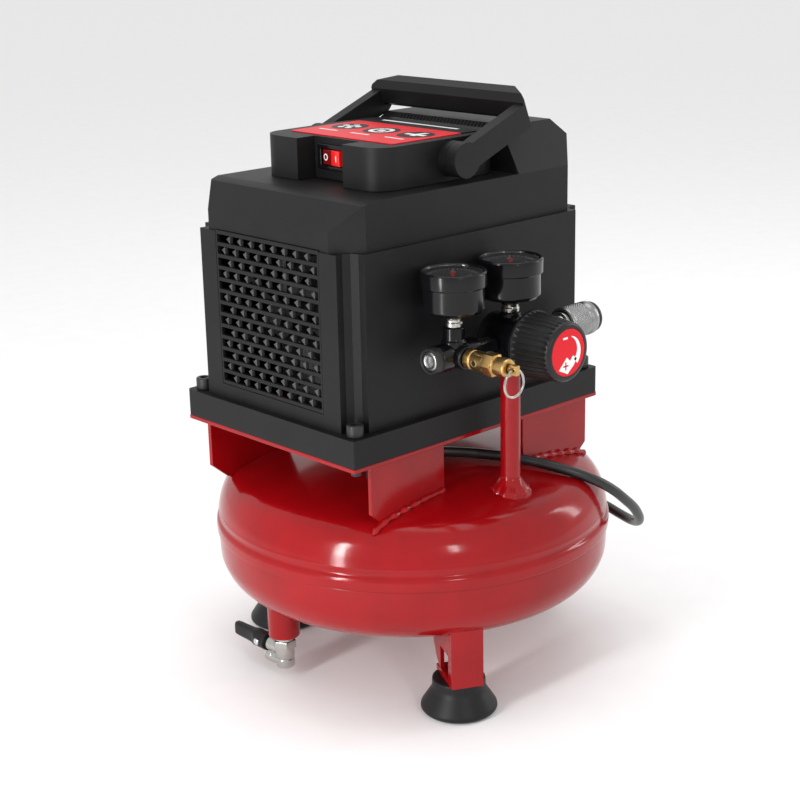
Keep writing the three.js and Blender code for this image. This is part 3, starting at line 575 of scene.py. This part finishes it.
# Each leg plate's outer end, inner end and y
legPlates = {"leg_front_left": (-96.5, -37, -66), "leg_front_right": (92, 32, -66),
             "leg_rear_left": (-106, -45, 72), "leg_rear_right": (92, 32, 72)}
riser = {"x": -3.5, "y": -90, "top": 205, "weldHeight": 133, "weldReach": 6}


def makeSteelwork():
    carryOver("platform", "deckPlate", "redEnamel", 0.6)
    for node, (outer, inner, y) in legPlates.items():
        name = "leg" + "".join(w.capitalize() for w in node.split("_")[1:])
        carryOver(node, name, "redEnamel", 0.7)
        points = []
        for i in range(weld["steps"] + 1):
            x = outer + (inner - outer) * i / weld["steps"]
            r = math.hypot(x, y)
            if r < weld["within"]:
                points.append((x, y + math.copysign(weld["out"], y), domeHeight(r) + weld["lift"]))
        weldBead(name + "Weld", points)
    for i in (1, 2, 3):
        carryOver(f"foot_bracket_{i}", f"footBracket{i}", "redEnamel", 0.6)
        carryOver(f"foot_bolt_{i}", f"footBolt{i}", "zinc", 0.3)
    top = riser["top"]
    profile = [(13, 128), (12.2, 132.5), (8.6, 136), (6.2, 140), (6, 150), (6, top)]

    def lumps(angle, radius, height):  # uneven weld round the foot of the post
        near = max(0, 1 - abs(height - riser["weldHeight"]) / riser["weldReach"])
        return radius * (1 + 0.05 * near * math.sin(angle * 11) + 0.03 * near * math.sin(angle * 5 + 1))

    turned("riserPost", [(0, 128)] + eased(profile, 1.5, 4) + [(0, top)], (riser["x"], riser["y"], 0),
           "redEnamel", sides=72, shape=lumps, replaced=["riser_post"], smoothAngle=50)


rubberFoot = {"profile": [(0, 9), (8, 9), (8, 0), (21.6, 0), (23.6, 2.2), (23.3, 4.2), (17.2, 13.6),
                          (16.3, 16), (16.3, 21.4), (3.4, 21.4), (3.4, 20)], "ease": 1.1}


def makeFeet():
    for i in (1, 2, 3):
        low, high = boxOf(f"rubber_foot_{i}")
        centre = ((low[0] + high[0]) / 2, (low[1] + high[1]) / 2, 0)
        turned(f"rubberFoot{i}", eased(rubberFoot["profile"], rubberFoot["ease"]), centre, "rubber", sides=72,
               replaced=[f"rubber_foot_{i}"], smoothAngle=50)


makeTank()
makeSteelwork()
makeFeet()
print("tank, legs and feet made")

# Shroud

screw = {"shank": 3, "head": 5, "headHeight": 7, "rim": 2.9, "socket": 2.45, "socketDepth": 3.4}


def makeShroud():
    carryOver("shroud", "shroudShell", "charcoal", 1.1, 3, 20)
    shank, head, rim, socket = screw["shank"], screw["head"], screw["rim"], screw["socket"]
    for i in range(1, 5):
        low, high = boxOf(f"corner_screw_{i}")
        centre = ((low[0] + high[0]) / 2, (low[1] + high[1]) / 2, 0)
        bottom, top = low[2], high[2]
        seat, floor = top - screw["headHeight"], top - screw["socketDepth"]
        profile = [(0, bottom), (shank, bottom + 0.5), (shank, seat), (head, seat), (head, top - 0.7),
                   (head - 0.6, top), (rim, top)]
        turned(f"cornerScrew{i}", eased(profile, 0.35), centre, "blackOxide", sides=48,
               replaced=[f"corner_screw_{i}"])
        turned(f"screwSocket{i}", [(socket, top), (socket, floor), (0, floor - 0.2)], centre, "blackOxide",
               sides=48, shape=hexSides())
        turned(f"screwRim{i}", [(rim, top), (2.6, top)], centre, "blackOxide", sides=48)


grille = {"rows": 13, "columns": 9, "slot": 4.8, "margin": 1.2, "postWidth": 4.2, "postTip": 0.9}


# A frame of level bars, with small three-sided posts between them that are staggered from row to row
def makeGrille():
    (front, y0, z0), (back, y1, z1) = boxOf("grille_panel")
    margin, rows, columns = grille["margin"], grille["rows"], grille["columns"]
    pitchZ = (z1 - z0 - 2 * margin) / rows
    pitchY = (y1 - y0 - 2 * margin) / columns
    middles = [z0 + margin + pitchZ * (row + 0.5) for row in range(rows)]
    slotRows = [(z - grille["slot"] / 2, z + grille["slot"] / 2) for z in middles]

    def build(work):
        def face(*points):
            work.faces.new([work.verts.new(at(*p)) for p in points])

        def plate(ya, yb, za, zb):
            face((front, ya, za), (front, yb, za), (front, yb, zb), (front, ya, zb))
            face((back, ya, za), (back, ya, zb), (back, yb, zb), (back, yb, za))

        ya, yb = y0 + margin, y1 - margin
        levels = [z0] + [z for pair in slotRows for z in pair] + [z1]
        for i, (za, zb) in enumerate(zip(levels, levels[1:])):
            plate(y0, ya, za, zb)
            plate(yb, y1, za, zb)
            if i % 2 == 0:
                plate(ya, yb, za, zb)
        for za, zb in slotRows:
            mouth = [(ya, za), (yb, za), (yb, zb), (ya, zb)]
            for i in range(4):
                j = (i + 1) % 4
                face((front, *mouth[i]), (front, *mouth[j]), (back, *mouth[j]), (back, *mouth[i]))
        for z, zNext in zip(levels, levels[1:]):
            face((front, y0, z), (front, y0, zNext), (back, y0, zNext), (back, y0, z))
            face((front, y1, z), (back, y1, z), (back, y1, zNext), (front, y1, zNext))
        for z in (z0, z1):
            for left, right in ((y0, ya), (ya, yb), (yb, y1)):
                face((front, left, z), (front, right, z), (back, right, z), (back, left, z))
        bmesh.ops.remove_doubles(work, verts=work.verts, dist=1e-5)
    panel = keep(meshOf(build, "grillePanel"), "grillePanel", "charcoal", replaced=["grille_panel"],
                 smoothAngle=30)
    softenEdges(panel, 0.25)

    def buildPosts(work):
        for row, (za, zb) in enumerate(slotRows):
            even = row % 2 == 0
            for column in range(columns - even):
                wide = y0 + margin + pitchY * (column + (1 if even else 0.5)) - grille["postWidth"] / 2
                outline = [(wide, za + 0.05), (wide, zb - 0.05), (wide + grille["postWidth"], (za + zb) / 2)]
                near = [at(front + depth, *c) for c, depth in zip(outline, (0.15, 0.15, grille["postTip"]))]
                skin(work, [near, [at(back, *c) for c in outline]], capped=True)
    # the posts take the lighter charcoal copy, a painted highlight
    posts = keep(meshOf(buildPosts, "grillePosts"), "grillePosts", "charcoalPaintedHighlight", smoothAngle=20)
    softenEdges(posts, 0.12, 1)


humpStrip = {"ribs": 27, "from": -37, "pitch": 3, "ends": [(30.4, 335.4), (37.6, 342.6)],
             "normal": (-0.707, 0.707), "section": [(-0.4, 0), (0.55, 0.35), (0.55, 1.45), (-0.4, 1.8)]}


# Fine ribs in the bevel between the low roof and the raised end
def makeHumpStrip():
    nx, nz = humpStrip["normal"]

    def build(work):
        for i in range(humpStrip["ribs"]):
            y = humpStrip["from"] + i * humpStrip["pitch"]
            skin(work, [[at(x + nx * lift, y + dy, z + nz * lift) for lift, dy in humpStrip["section"]]
                        for x, z in humpStrip["ends"]], capped=True)
    keep(meshOf(build, "humpRibs"), "humpRibs", "charcoal")


makeShroud()
makeGrille()
makeHumpStrip()
print("shroud made")

# Console, label, switch and handle

label = {"low": (-53, -45), "high": (27, 45), "split": 3, "top": 341.05, "film": 0.5, "ink": 0.06,
         "badgeRadius": 11.5, "badges": ((-19, -29), (-19.5, 0), (-19, 28.8))}


def makeConsole():
    carryOver("console", "consoleShell", "charcoal", 1.6, 4, 32)
    (x0, y0), (x1, y1) = label["low"], label["high"]
    split, film, ink = label["split"], label["film"], label["ink"]

    def onTop(base):  # a flat place on the label, base above the console's top
        return lambda u, v, h: at(u, v, label["top"] + base + h)

    red = rounded(bar(x0, y0, split, y1), 1.5)
    black = rounded(bar(split + 0.1, y0, x1, y1), 1.5)
    artwork("labelRed", [red], onTop(0), film, "labelRed", replaced=["console_label"])
    artwork("labelBlack", [black], onTop(0), film, "labelBlack")
    badges = [circle(x, y, label["badgeRadius"]) for x, y in label["badges"]]
    artwork("labelBadges", badges, onTop(film), ink, "labelBlack")
    (ax, ay), (bx, by), (cx, cy) = label["badges"]
    # a spray gun, a tyre and a ball, as plain pictograms
    art = [bar(ax - 2, ay - 8, ax + 1.4, ay + 8),
           [(ax + 1.4, ay - 1.6), (ax + 8, ay - 3.4), (ax + 8, ay + 0.4), (ax + 1.4, ay + 2)],
           bar(ax - 4.6, ay - 3, ax - 2, ay + 1)]
    for k in range(12):
        a = k * math.pi / 6
        art.append([(bx + r * math.cos(a + d), by + r * math.sin(a + d))
                    for r, d in ((5.2, 0.04), (8.2, 0.04), (8.2, 0.5), (5.2, 0.5))])
    art.append(circle(bx, by, 2.6, 20))
    for k in range(5):
        a = k * 2 * math.pi / 5
        art.append(circle(cx + 5.6 * math.cos(a), cy + 5.6 * math.sin(a), 2.3, 6))
    art.append(circle(cx, cy, 2.5, 5))
    # plain bars stand for the words
    art += [bar(x - 18.5, y - 8, x - 16.8, y + 8) for x, y in label["badges"]]
    art.append(bar(12, -32, 14.6, 34))
    artwork("labelArt", art, onTop(film + ink), ink, "labelWhite")


switch = {"centre": (-56, 2, 329.5), "tilt": 7, "faceOffset": -3.4, "ring": (5.2, 2.0, 1.35), "sides": 24}


# A rocker with one half that glows, painted light, and one half in a darker copy of its red, painted shade;
# marked with a ring and a bar
def makeSwitch():
    carryOver("switch_body", "switchBezel", "blackGloss", 0.6, 3)
    rocker = carryOver("switch_rocker", "switchRocker", "rockerPaintedGlow", 0)
    x, y, z = switch["centre"]
    rocker.data.materials.append(materials["rockerPaintedShade"])
    work = bmesh.new()
    work.from_mesh(rocker.data)
    middle = at(x, y, z)
    parts = list(work.verts) + list(work.edges) + list(work.faces)
    bmesh.ops.bisect_plane(work, geom=parts, plane_co=middle, plane_no=(0, 1, 0))
    # faces past the middle take the darker red copy, painted shade
    for face in work.faces:
        face.material_index = 1 if face.calc_center_median().y > middle.y else 0
    work.to_mesh(rocker.data)
    work.free()
    softenEdges(rocker, 0.6, 3)
    tilt = math.radians(-switch["tilt"])

    def onFace(u, v, h):
        px, py = switch["faceOffset"] - h, u
        return at(x + 1 + px * math.cos(tilt) - py * math.sin(tilt),
                  y + px * math.sin(tilt) + py * math.cos(tilt), z + v)

    middleU, outerR, innerR = switch["ring"]
    sides = switch["sides"]
    outer, inner = circle(middleU, 0, outerR, sides), circle(middleU, 0, innerR, sides)
    marks = []
    for i in range(sides):
        j = (i + 1) % sides
        marks.append([outer[i], outer[j], inner[j], inner[i]])
    marks.append(bar(-5.5, -1.8, -4.8, 1.8))
    artwork("switchMarks", marks, onFace, 0.06, "labelWhite", body="rocker")


makeConsole()
makeSwitch()
carryOver("carry_handle", "carryHandle", "charcoal", 1.3, 4, 25)
print("console, switch and handle made")

# Pressure line, left to right along x: tee, regulator, coupler

lineY, lineZ = -90, 225.5
postX, teeX = -3.5, -50.5
tee = {"reach": 15.5, "ease": 0.6, "sides": 56, "plugGap": 0.3, "plugDepth": 4.6}


def makeTee():
    start, ease, sides = teeX - tee["reach"], tee["ease"], tee["sides"]
    run = [(0, 0), (7.4, 0), (8.1, 0.8), (8.1, 9), (7.6, 10.5), (7.6, 20), (8.1, 21.5), (8.1, 31), (7.4, 32),
           (5.6, 32), (5.6, 46.6), (0, 46.6)]
    turned("teeRun", eased(run, ease), (start, lineY, lineZ), "blackGloss", alongX, sides,
           replaced=["manifold_tee"])
    front = [(0, -4), (7, -4), (7, 9.5), (6.6, 11), (0, 11)]
    turned("teeFront", eased(front, ease), (teeX, lineY, lineZ), "blackGloss", alongFront, sides)
    up = [(0, 0), (7.4, 0), (7.4, 8.4), (6.2, 9.6), (6.2, 16.6), (0, 16.6)]
    turned("teeRiser", eased(up, ease), (teeX, lineY, lineZ), "blackGloss", sides=sides)

    def fineKnurl(angle, radius, height):
        cut = radius > 7 and 0.8 < height < 4.4
        return radius - (0.18 * (0.5 + 0.5 * math.cos(angle * 48)) if cut else 0)

    plugAt = (start - tee["plugGap"] - tee["plugDepth"], lineY, lineZ)
    rim = [(5.9, 0.9), (6.1, 0.1), (7.1, 0), (7.6, 0.7), (7.6, 4.6), (0, 4.6)]
    turned("plugRim", eased(rim, 0.25), plugAt, "blackOxide", alongX, 192, fineKnurl, replaced=["tee_plug"],
           slotName="nickel_plate")
    disc = [(3.3, 2.6), (3.5, 0.7), (4.0, 0.45), (5.3, 0.5), (5.85, 0.9), (5.85, 3)]
    turned("plugDisc", eased(disc, 0.2), plugAt, "nickel", alongX, sides)
    turned("plugHex", [(3.0, 0.9), (2.8, 1.3), (2.7, 3), (0, 3.1)], plugAt, "zinc", alongX, 48, hexSides(),
           slotName="nickel_plate")
    turned("plugWell", [(3.6, 0.85), (2.9, 1.0)], plugAt, "zinc", alongX, 48, slotName="nickel_plate")


regulator = {
    "body": [(0, 0), (12.4, 0), (15, 2), (15, 24), (17, 26), (17, 30.4), (0, 30.4)],
    "spindle": [(0, 0), (4, 0), (4, 7.3), (0, 7.3)],
    "port": [(0, 0), (7.4, 0), (7.4, 18), (0, 18)],
    "neck": [(0, 0), (7.8, 0), (7.8, 12.6), (6.2, 14), (6.2, 16.6), (0, 16.6)],
    "foot": [(0, 0), (7.6, 0), (7.6, 14), (0, 14)], "footHeight": 205.3, "flats": 0.95}


def makeRegulator():
    flats = hexSides(regulator["flats"])
    turned("regulatorBody", eased(regulator["body"], 0.8), (postX, lineY + 15, lineZ), "blackGloss",
           alongFront, 72, replaced=["regulator_body"])
    turned("regulatorSpindle", regulator["spindle"], (postX, lineY - 15, lineZ), "zinc", alongFront, 32)
    turned("regulatorPort", eased(regulator["port"], 0.5), (postX + 10, lineY, lineZ), "blackGloss",
           alongX, 48, flats)
    turned("regulatorNeck", eased(regulator["neck"], 0.5), (postX, lineY, lineZ), "blackGloss", sides=48)
    turned("regulatorFoot", eased(regulator["foot"], 0.5), (postX, lineY, regulator["footHeight"]),
           "blackGloss", sides=48, shape=flats)


knob = {"ribs": 34, "back": 20.1, "front": 17.4, "depth": 29, "disc": 13.9, "y": -106, "ribDepth": 0.85,
        "ribFrom": 2.4, "rim": 1.6, "steps": 16, "arrowRadius": 9.6, "arrowFrom": 74, "arrowSweep": 118}


def makeKnob():
    back, front, depth, disc = knob["back"], knob["front"], knob["depth"], knob["disc"]
    ribFrom, ribTo = knob["ribFrom"], depth - knob["rim"]

    def rib(angle, radius, height):
        if radius < 14.5 or height < ribFrom or height > ribTo:
            return radius
        wave = 0.5 + 0.5 * math.cos(angle * knob["ribs"])
        fade = min(1, (height - ribFrom) / 1.5, (ribTo - height) / 2.5)
        return radius - knob["ribDepth"] * fade * (1 - wave) ** 1.4

    profile = [(0, 7.8), (4.4, 7.8), (4.4, 0), (back - 0.8, 0), (back, 0.7), (back, 2.3)]
    for k in range(knob["steps"] + 1):
        h = 2.5 + (depth - 4.3) * k / knob["steps"]
        profile.append((back + (front - back) * (h / depth), h))
    profile += [(front - 0.15, depth - 1.3), (front - 0.8, depth - 0.35), (front - 1.8, depth),
                (disc + 0.3, depth), (disc + 0.1, depth - 0.4), (0, depth - 0.4)]
    turned("regulatorKnob", profile, (postX, knob["y"], lineZ), "knobBlack", alongFront,
           knob["ribs"] * 10, rib, body="knob", replaced=["regulator_knob"], smoothAngle=40)

    face = knob["y"] - depth + 0.35

    def onFront(base):
        return lambda u, v, h: at(postX + u, face - base - h, lineZ + v)

    artwork("knobDisc", [circle(0, 0, disc, 64)], onFront(0), 0.25, "labelRed", body="knob")
    art = []
    # an arrow that sweeps down the right side and swells towards its head
    count, middle = 18, knob["arrowRadius"]
    for k in range(count):
        ends = []
        for t in (k / count, (k + 1) / count):
            a = math.radians(knob["arrowFrom"] - knob["arrowSweep"] * t)
            width = 0.25 + 2.6 * t ** 0.8
            ends.append([(r * math.cos(a), r * math.sin(a)) for r in (middle + width * 0.5, middle - width)])
        art.append([ends[0][0], ends[1][0], ends[1][1], ends[0][1]])
    art.append([(-1.2, -2.6), (-8.0, -9.2), (-0.4, -12.6), (1.2, -11.0), (4.4, -8.6), (7.4, -4.6),
                (4.0, -2.4), (1.6, -5.2)])
    art.append(bar(-4.6, 8.2, -0.6, 9.4))
    artwork("knobArrow", art, onFront(0.25), 0.06, "labelWhite", body="knob")
    plus = [bar(-4.4, -8.1, 0.2, -7.2), bar(-2.6, -10.0, -1.6, -5.3)]
    artwork("knobPlus", plus, onFront(0.31), 0.06, "labelRed", body="knob")


gauge = {"r": 19.2, "top": 275, "bottom": 251, "ticks": 28, "numbers": ("0", "4", "8", "12"),
         "numberSize": 0.0042, "numberRadius": 9.4, "sweepFrom": 225, "sweep": 270}


def makeGauge(x, number):
    r, top, bottom = gauge["r"], gauge["top"], gauge["bottom"]
    dialZ = top - 4.2
    centre = (x, lineY, 0)
    case = [(0, bottom), (r - 3.2, bottom), (r - 1.4, bottom + 2), (r - 1.4, top - 9.2),
            (r - 0.1, top - 8.9), (r, top - 0.9), (r - 0.9, top), (r - 1.7, top), (r - 2.1, top - 0.7),
            (r - 2.1, dialZ), (0, dialZ)]
    turned(f"gaugeCase{number}", eased(case, 0.5, 4), centre, "blackGloss", sides=96,
           replaced=[f"gauge_case_{number}"])
    stem = [(0, 242.4), (5.2, 242.4), (5.4, 243), (5.4, 245), (4.9, 245.5), (5.1, 247), (7.0, 249),
            (7.2, 250.7), (0, 250.7)]
    turned(f"gaugeStem{number}", eased(stem, 0.35), centre, "nickel", sides=48,
           replaced=[f"gauge_stem_{number}"])
    dial = [(16.9, dialZ + 0.02), (16.9, dialZ + 0.14), (0, dialZ + 0.14)]
    turned(f"gaugeDial{number}", dial, centre, "dialFace", sides=96)
    marks = []
    last = gauge["ticks"] - 1
    for i in range(gauge["ticks"]):
        a = math.radians(gauge["sweepFrom"] - gauge["sweep"] * i / last)
        inner, half = (12.2, 0.28) if i % 9 == 0 or i == last else (13.6, 0.14)
        c, s = math.cos(a), math.sin(a)
        marks.append([(c * q - s * w, s * q + c * w)
                      for q, w in ((inner, -half), (15.6, -half), (15.6, half), (inner, half))])
    artwork(f"gaugeMarks{number}", marks, lambda u, v, h: at(x + u, lineY + v, dialZ + 0.14 + h), 0.05,
            "labelWhite")
    for i, words in enumerate(gauge["numbers"]):
        a = math.radians(gauge["sweepFrom"] - gauge["sweep"] * i / 3)
        reach = gauge["numberRadius"]
        text = bpy.data.curves.new(f"gaugeNumber{number}_{i}", "FONT")
        text.body = words
        text.size = gauge["numberSize"]
        text.align_x = text.align_y = "CENTER"
        text.extrude = 0.00003
        text.materials.append(materials["labelWhite"])
        piece = bpy.data.objects.new(f"gaugeNumber{number}_{i}", text)
        piece.location = at(x + reach * math.cos(a), lineY + reach * math.sin(a), dialZ + 0.2)
        settle(piece, "base", slots["labelWhite"])
    carryOver(f"gauge_needle_{number}", f"gaugeNeedle{number}", "needlePaint", 0.1, 1)
    lens = [(0, top - 1.9), (r - 2.4, top - 1.9), (r - 2.4, top - 1.0), (r - 2.6, top - 0.8), (0, top - 0.55)]
    turned(f"gaugeLens{number}", lens, centre, "clearLens", sides=96, replaced=[f"gauge_lens_{number}"])


safetyValve = {"y": -101.3, "portOut": 5.0, "portAt": 9.6, "flats": (0.97, 15, 22.1)}


def makeSafetyValve():
    start = safetyValve["y"]
    body = [(0, 0), (5.0, 0), (5.8, 0.8), (5.8, 4.8), (5.3, 5.2), (5.3, 5.8), (5.8, 6.2), (5.8, 14.6),
            (6.2, 15), (6.2, 22), (5.3, 22.4), (5.3, 24), (5.5, 24.3), (5.5, 30.6), (4.9, 31.7),
            (2.9, 31.7), (2.7, 31), (2.7, 22), (0, 22)]
    turned("safetyValve", eased(body, 0.25), (teeX, start, lineZ), "brass", alongFront, 72,
           hexSides(*safetyValve["flats"]), replaced=["safety_valve_body"])
    lip = [(2.1, 0), (2.1, 0.8), (1.85, 1.0), (1.6, 0.95), (1.55, 0.6), (1.55, 0), (2.1, 0)]
    for i, (side, lay) in enumerate(((-1, alongLeft), (1, alongX))):
        centre = (teeX + side * safetyValve["portOut"], start - safetyValve["portAt"], lineZ)
        # painted shade: a black disc in the rubber finish fills each brass port, for the dark inside of the hole
        turned(f"valvePort{i}", [(1.55, 0), (1.55, 0.86), (0, 0.86)], centre, "rubber", lay, 32,
               slotName="brass")
        turned(f"valvePortLip{i}", lip, centre, "brass", lay, 32)
    carryOver("safety_valve_stem", "valveStem", "brass", 0.35)


pullRing = {"r": 7.8, "y": -136.5, "wire": 0.42, "flat": 0.7, "pitch": 0.82, "steps": 120, "sides": 10}


# A split ring: two touching coils of flattened wire
def makePullRing():
    steps, sides = pullRing["steps"], pullRing["sides"]

    def build(work):
        rings = []
        for i in range(steps + 1):
            a = math.pi / 2 + 4 * math.pi * i / steps
            lift = pullRing["pitch"] * (i / steps - 0.5)
            ring = []
            for k in range(sides):
                b = k * 2 * math.pi / sides
                r = pullRing["r"] + pullRing["flat"] * math.cos(b)
                ring.append(at(teeX + r * math.cos(a),
                               pullRing["y"] + lift + pullRing["wire"] * math.sin(b) * 0.9,
                               lineZ - pullRing["r"] + r * math.sin(a)))
            rings.append(ring)
        skin(work, rings, capped=True)
    keep(meshOf(build, "pullRing"), "pullRing", "nickel", "ring", ["pull_ring"], smoothAngle=60)


coupler = {"bodyFrom": 24.8, "rimFrom": 66.95, "sealFrom": 66.3, "sleeveFrom": 42, "knurlLow": 2.2,
           "knurlHigh": 15.5, "knurlDepth": 0.5, "diamonds": 16, "slant": 1.55}


def makeCoupler():
    def stretch(name, profile, start, finish, sides, ease, shape=None, **how):
        turned(name, eased(profile, ease), (start, lineY, lineZ), finish, alongX, sides, shape, **how)

    nipple = [(0, 0), (6.9, 0), (6.9, 9), (6.3, 9.4), (6.3, 14), (8, 15), (8, 42.2), (9.2, 42.2), (9.2, 43.6),
              (8.7, 44.2), (5.4, 44.2), (5, 43.6), (5, 24), (0, 23)]
    stretch("couplerBody", nipple, coupler["bodyFrom"], "nickel", 72, 0.3, hexSides(0.93, high=9),
            replaced=["coupler_body"])
    rim = [(9.0, 0), (9.45, 0.2), (9.45, 1.9), (9.0, 2.1), (8.2, 2.1), (7.0, 1.9), (7.0, 1.2), (9.0, 0)]
    stretch("couplerRim", rim, coupler["rimFrom"], "blackOxide", 72, 0.15)
    seal = [(8.05, 0), (9.0, 0), (9.0, 1.0), (8.05, 1.0)]
    stretch("couplerSeal", seal, coupler["sealFrom"], "rubber", 64, 0.2)
    low, high = coupler["knurlLow"], coupler["knurlHigh"]

    def knurl(angle, radius, height):  # diamonds over the middle of the sleeve
        if radius < 9.5 or not low < height < high:
            return radius
        fade = min(1, (height - low) / 0.8, (high - height) / 0.8)
        a = abs(math.sin(angle * coupler["diamonds"] + height * coupler["slant"]))
        b = abs(math.sin(angle * coupler["diamonds"] - height * coupler["slant"]))
        return radius - coupler["knurlDepth"] * fade * (1 - min(a, b) ** 0.6)

    profile = [(8.5, 0), (9.6, 0), (10.2, 0.7), (10.4, 1.4)] + [(10.4, 2 + 14 * k / 56) for k in range(57)]
    profile += [(10.4, 16.6), (9.8, 17), (9.8, 18), (10.4, 18.4), (10.4, 23), (10, 23.8), (9.4, 24),
                (8.5, 24), (8.5, 0)]
    turned("couplerSleeve", profile, (coupler["sleeveFrom"], lineY, lineZ), "knurledSteel", alongX, 260, knurl,
           body="sleeve", replaced=["coupler_sleeve"], smoothAngle=60)


makeTee()
makeRegulator()
makeKnob()
for gaugeNumber, gaugeX in ((1, teeX), (2, postX)):
    makeGauge(gaugeX, gaugeNumber)
makeSafetyValve()
makePullRing()
makeCoupler()
print("pressure line made")

# Drain

drain = {
    "x": -94, "y": 21, "wingHeight": 19.5, "flats": 0.94,
    "boss": [(0, 30), (9.6, 30), (10, 30.6), (10, 52)],
    "body": [(0, 8.7), (5.4, 8.7), (6, 9.3), (6, 14), (5.6, 14.4), (5.6, 15), (6, 15.4), (6, 29.7), (0, 29.7)],
    "hex": [(0, 22), (7, 22), (7, 27), (0, 27)],
    "barrel": [(0, 0), (4.6, 0), (4.6, 14), (3, 14.4), (3, 19.8), (0, 20)],
    "outlet": [(0, 0), (4.2, 0), (4.2, 7), (3.8, 7.4), (3.8, 8), (4.2, 8.4), (4.2, 13), (2.6, 13), (2.6, 9),
               (0, 9)],
    "screw": [(0, 0), (2.3, 0), (2.3, 0.8), (1.8, 1.2), (0, 1.2)],
    # (y, half width, half height) along the wing lever: a round hub that flows into a flat waisted paddle
    "wing": [(37, 5.2, 5.2), (37.5, 5.7, 5.7), (46, 5.7, 5.7), (49, 4.4, 5.3), (52, 3.3, 4.8), (58, 2.8, 4.7),
             (66, 2.6, 4.6), (69.3, 2.4, 4.4), (70, 1.8, 3.8)],
    "hubEnd": 48, "paddlePower": 0.55}


def makeDrain():
    x, y, wing = drain["x"], drain["y"], drain["wingHeight"]
    turned("drainBoss", eased(drain["boss"], 0.6) + [(10, 54.5)], (x, y, 0), "redEnamel",
           replaced=["drain_boss"])
    turned("drainBody", eased(drain["body"], 0.3), (x, y, 0), "nickel", sides=48, replaced=["drain_valve_body"])
    turned("drainHex", eased(drain["hex"], 0.3), (x, y, 0), "nickel", sides=48, shape=hexSides(drain["flats"]))
    turned("drainBarrel", eased(drain["barrel"], 0.3), (x, y, wing), "nickel", alongBack, 48)
    turned("drainOutlet", eased(drain["outlet"], 0.3), (x - 2, y, 13), "nickel", alongBack, 48)

    def build(work):
        rings = []
        for sy, halfX, halfZ in drain["wing"]:
            power = 1 if sy < drain["hubEnd"] else drain["paddlePower"]
            ring = []
            for k in range(40):
                a = k * 2 * math.pi / 40
                c, s = math.cos(a), math.sin(a)
                ring.append(at(x + halfX * math.copysign(abs(c) ** power, c), sy,
                               wing + halfZ * math.copysign(abs(s) ** power, s)))
            rings.append(ring)
        skin(work, rings, capped=True)
    lever = keep(meshOf(build, "drainLever"), "drainLever", "rubber", "lever", ["drain_lever"], "gloss_black", 50)
    softenEdges(lever, 0.5, 2, 50)
    turned("leverScrew", eased(drain["screw"], 0.2), (x - 5.3, 43, wing), "zinc", alongLeft, 32, body="lever")


makeDrain()
print("drain made")

# Motor and pump, seen only through the openings

works = [
    ("motor_stator", "motorStator", "motorSteel", 1.0), ("motor_rotor", "motorRotor", "motorSteel", 0.4),
    ("cooling_fan", "coolingFan", "rubber", 0.4), ("pump_frame", "pumpFrame", "castAluminium", 1.0),
    ("piston_rod", "pistonRod", "castAluminium", 0.5), ("cylinder_head", "cylinderHead", "castAluminium", 0.6),
]
for node, name, finish, width in works:
    carryOver(node, name, finish, width)
carryOver("discharge_tube", "dischargeTube", "copper", 0, smoothAngle=80)
print("motor and pump made")

# Floor and light

stage = {"half": 15, "below": 0.0005, "sky": 0.86}


def makeStage():
    far = stage["half"]

    def build(work):
        for x, y in ((-far, -far), (far, -far), (far, far), (-far, far)):
            work.verts.new((x, y, -stage["below"]))
        work.faces.new(list(work.verts))
    mesh = meshOf(build, "floor")
    floor = bpy.data.objects.new("floor", mesh)
    mesh.materials.append(materials["floorPaper"])
    bpy.context.scene.collection.objects.link(floor)
    world = bpy.data.worlds.new("studio")
    world.use_nodes = True
    sky = world.node_tree.nodes["Background"]
    sky.inputs["Color"].default_value = (1, 1, 1, 1)
    sky.inputs["Strength"].default_value = stage["sky"]
    bpy.context.scene.world = world


lights = [
    {"name": "overhead", "place": (0.15, 0.1, 1.6), "size": (1.3, 1.0), "power": 6},
    {"name": "keyLeft", "place": (-1.5, -0.15, 0.6), "size": (0.09, 0.6), "power": 4.5},
    {"name": "frontFill", "place": (-0.55, -1.5, 0.8), "size": (0.12, 0.4), "power": 3.2},
    {"name": "stripLeft", "place": (-0.76, -0.10, 0.27), "size": (0.07, 0.5), "power": 2.6},
    {"name": "rimRight", "place": (1.4, -0.7, 0.7), "size": (0.2, 0.9), "power": 4},
]
lightAim = Vector((0, 0, 0.17))  # all lights point at the middle of the machine


def makeLights():
    for light in lights:
        data = bpy.data.lights.new(light["name"], "AREA")
        data.shape = "RECTANGLE"
        data.size, data.size_y = light["size"]
        data.energy = light["power"]
        lamp = bpy.data.objects.new(light["name"], data)
        lamp.location = light["place"]
        lamp.rotation_euler = (lightAim - Vector(light["place"])).to_track_quat("-Z", "Y").to_euler()
        bpy.context.scene.collection.objects.link(lamp)


makeStage()
makeLights()
bpy.context.scene.view_settings.view_transform = "Standard"
print("stage made")
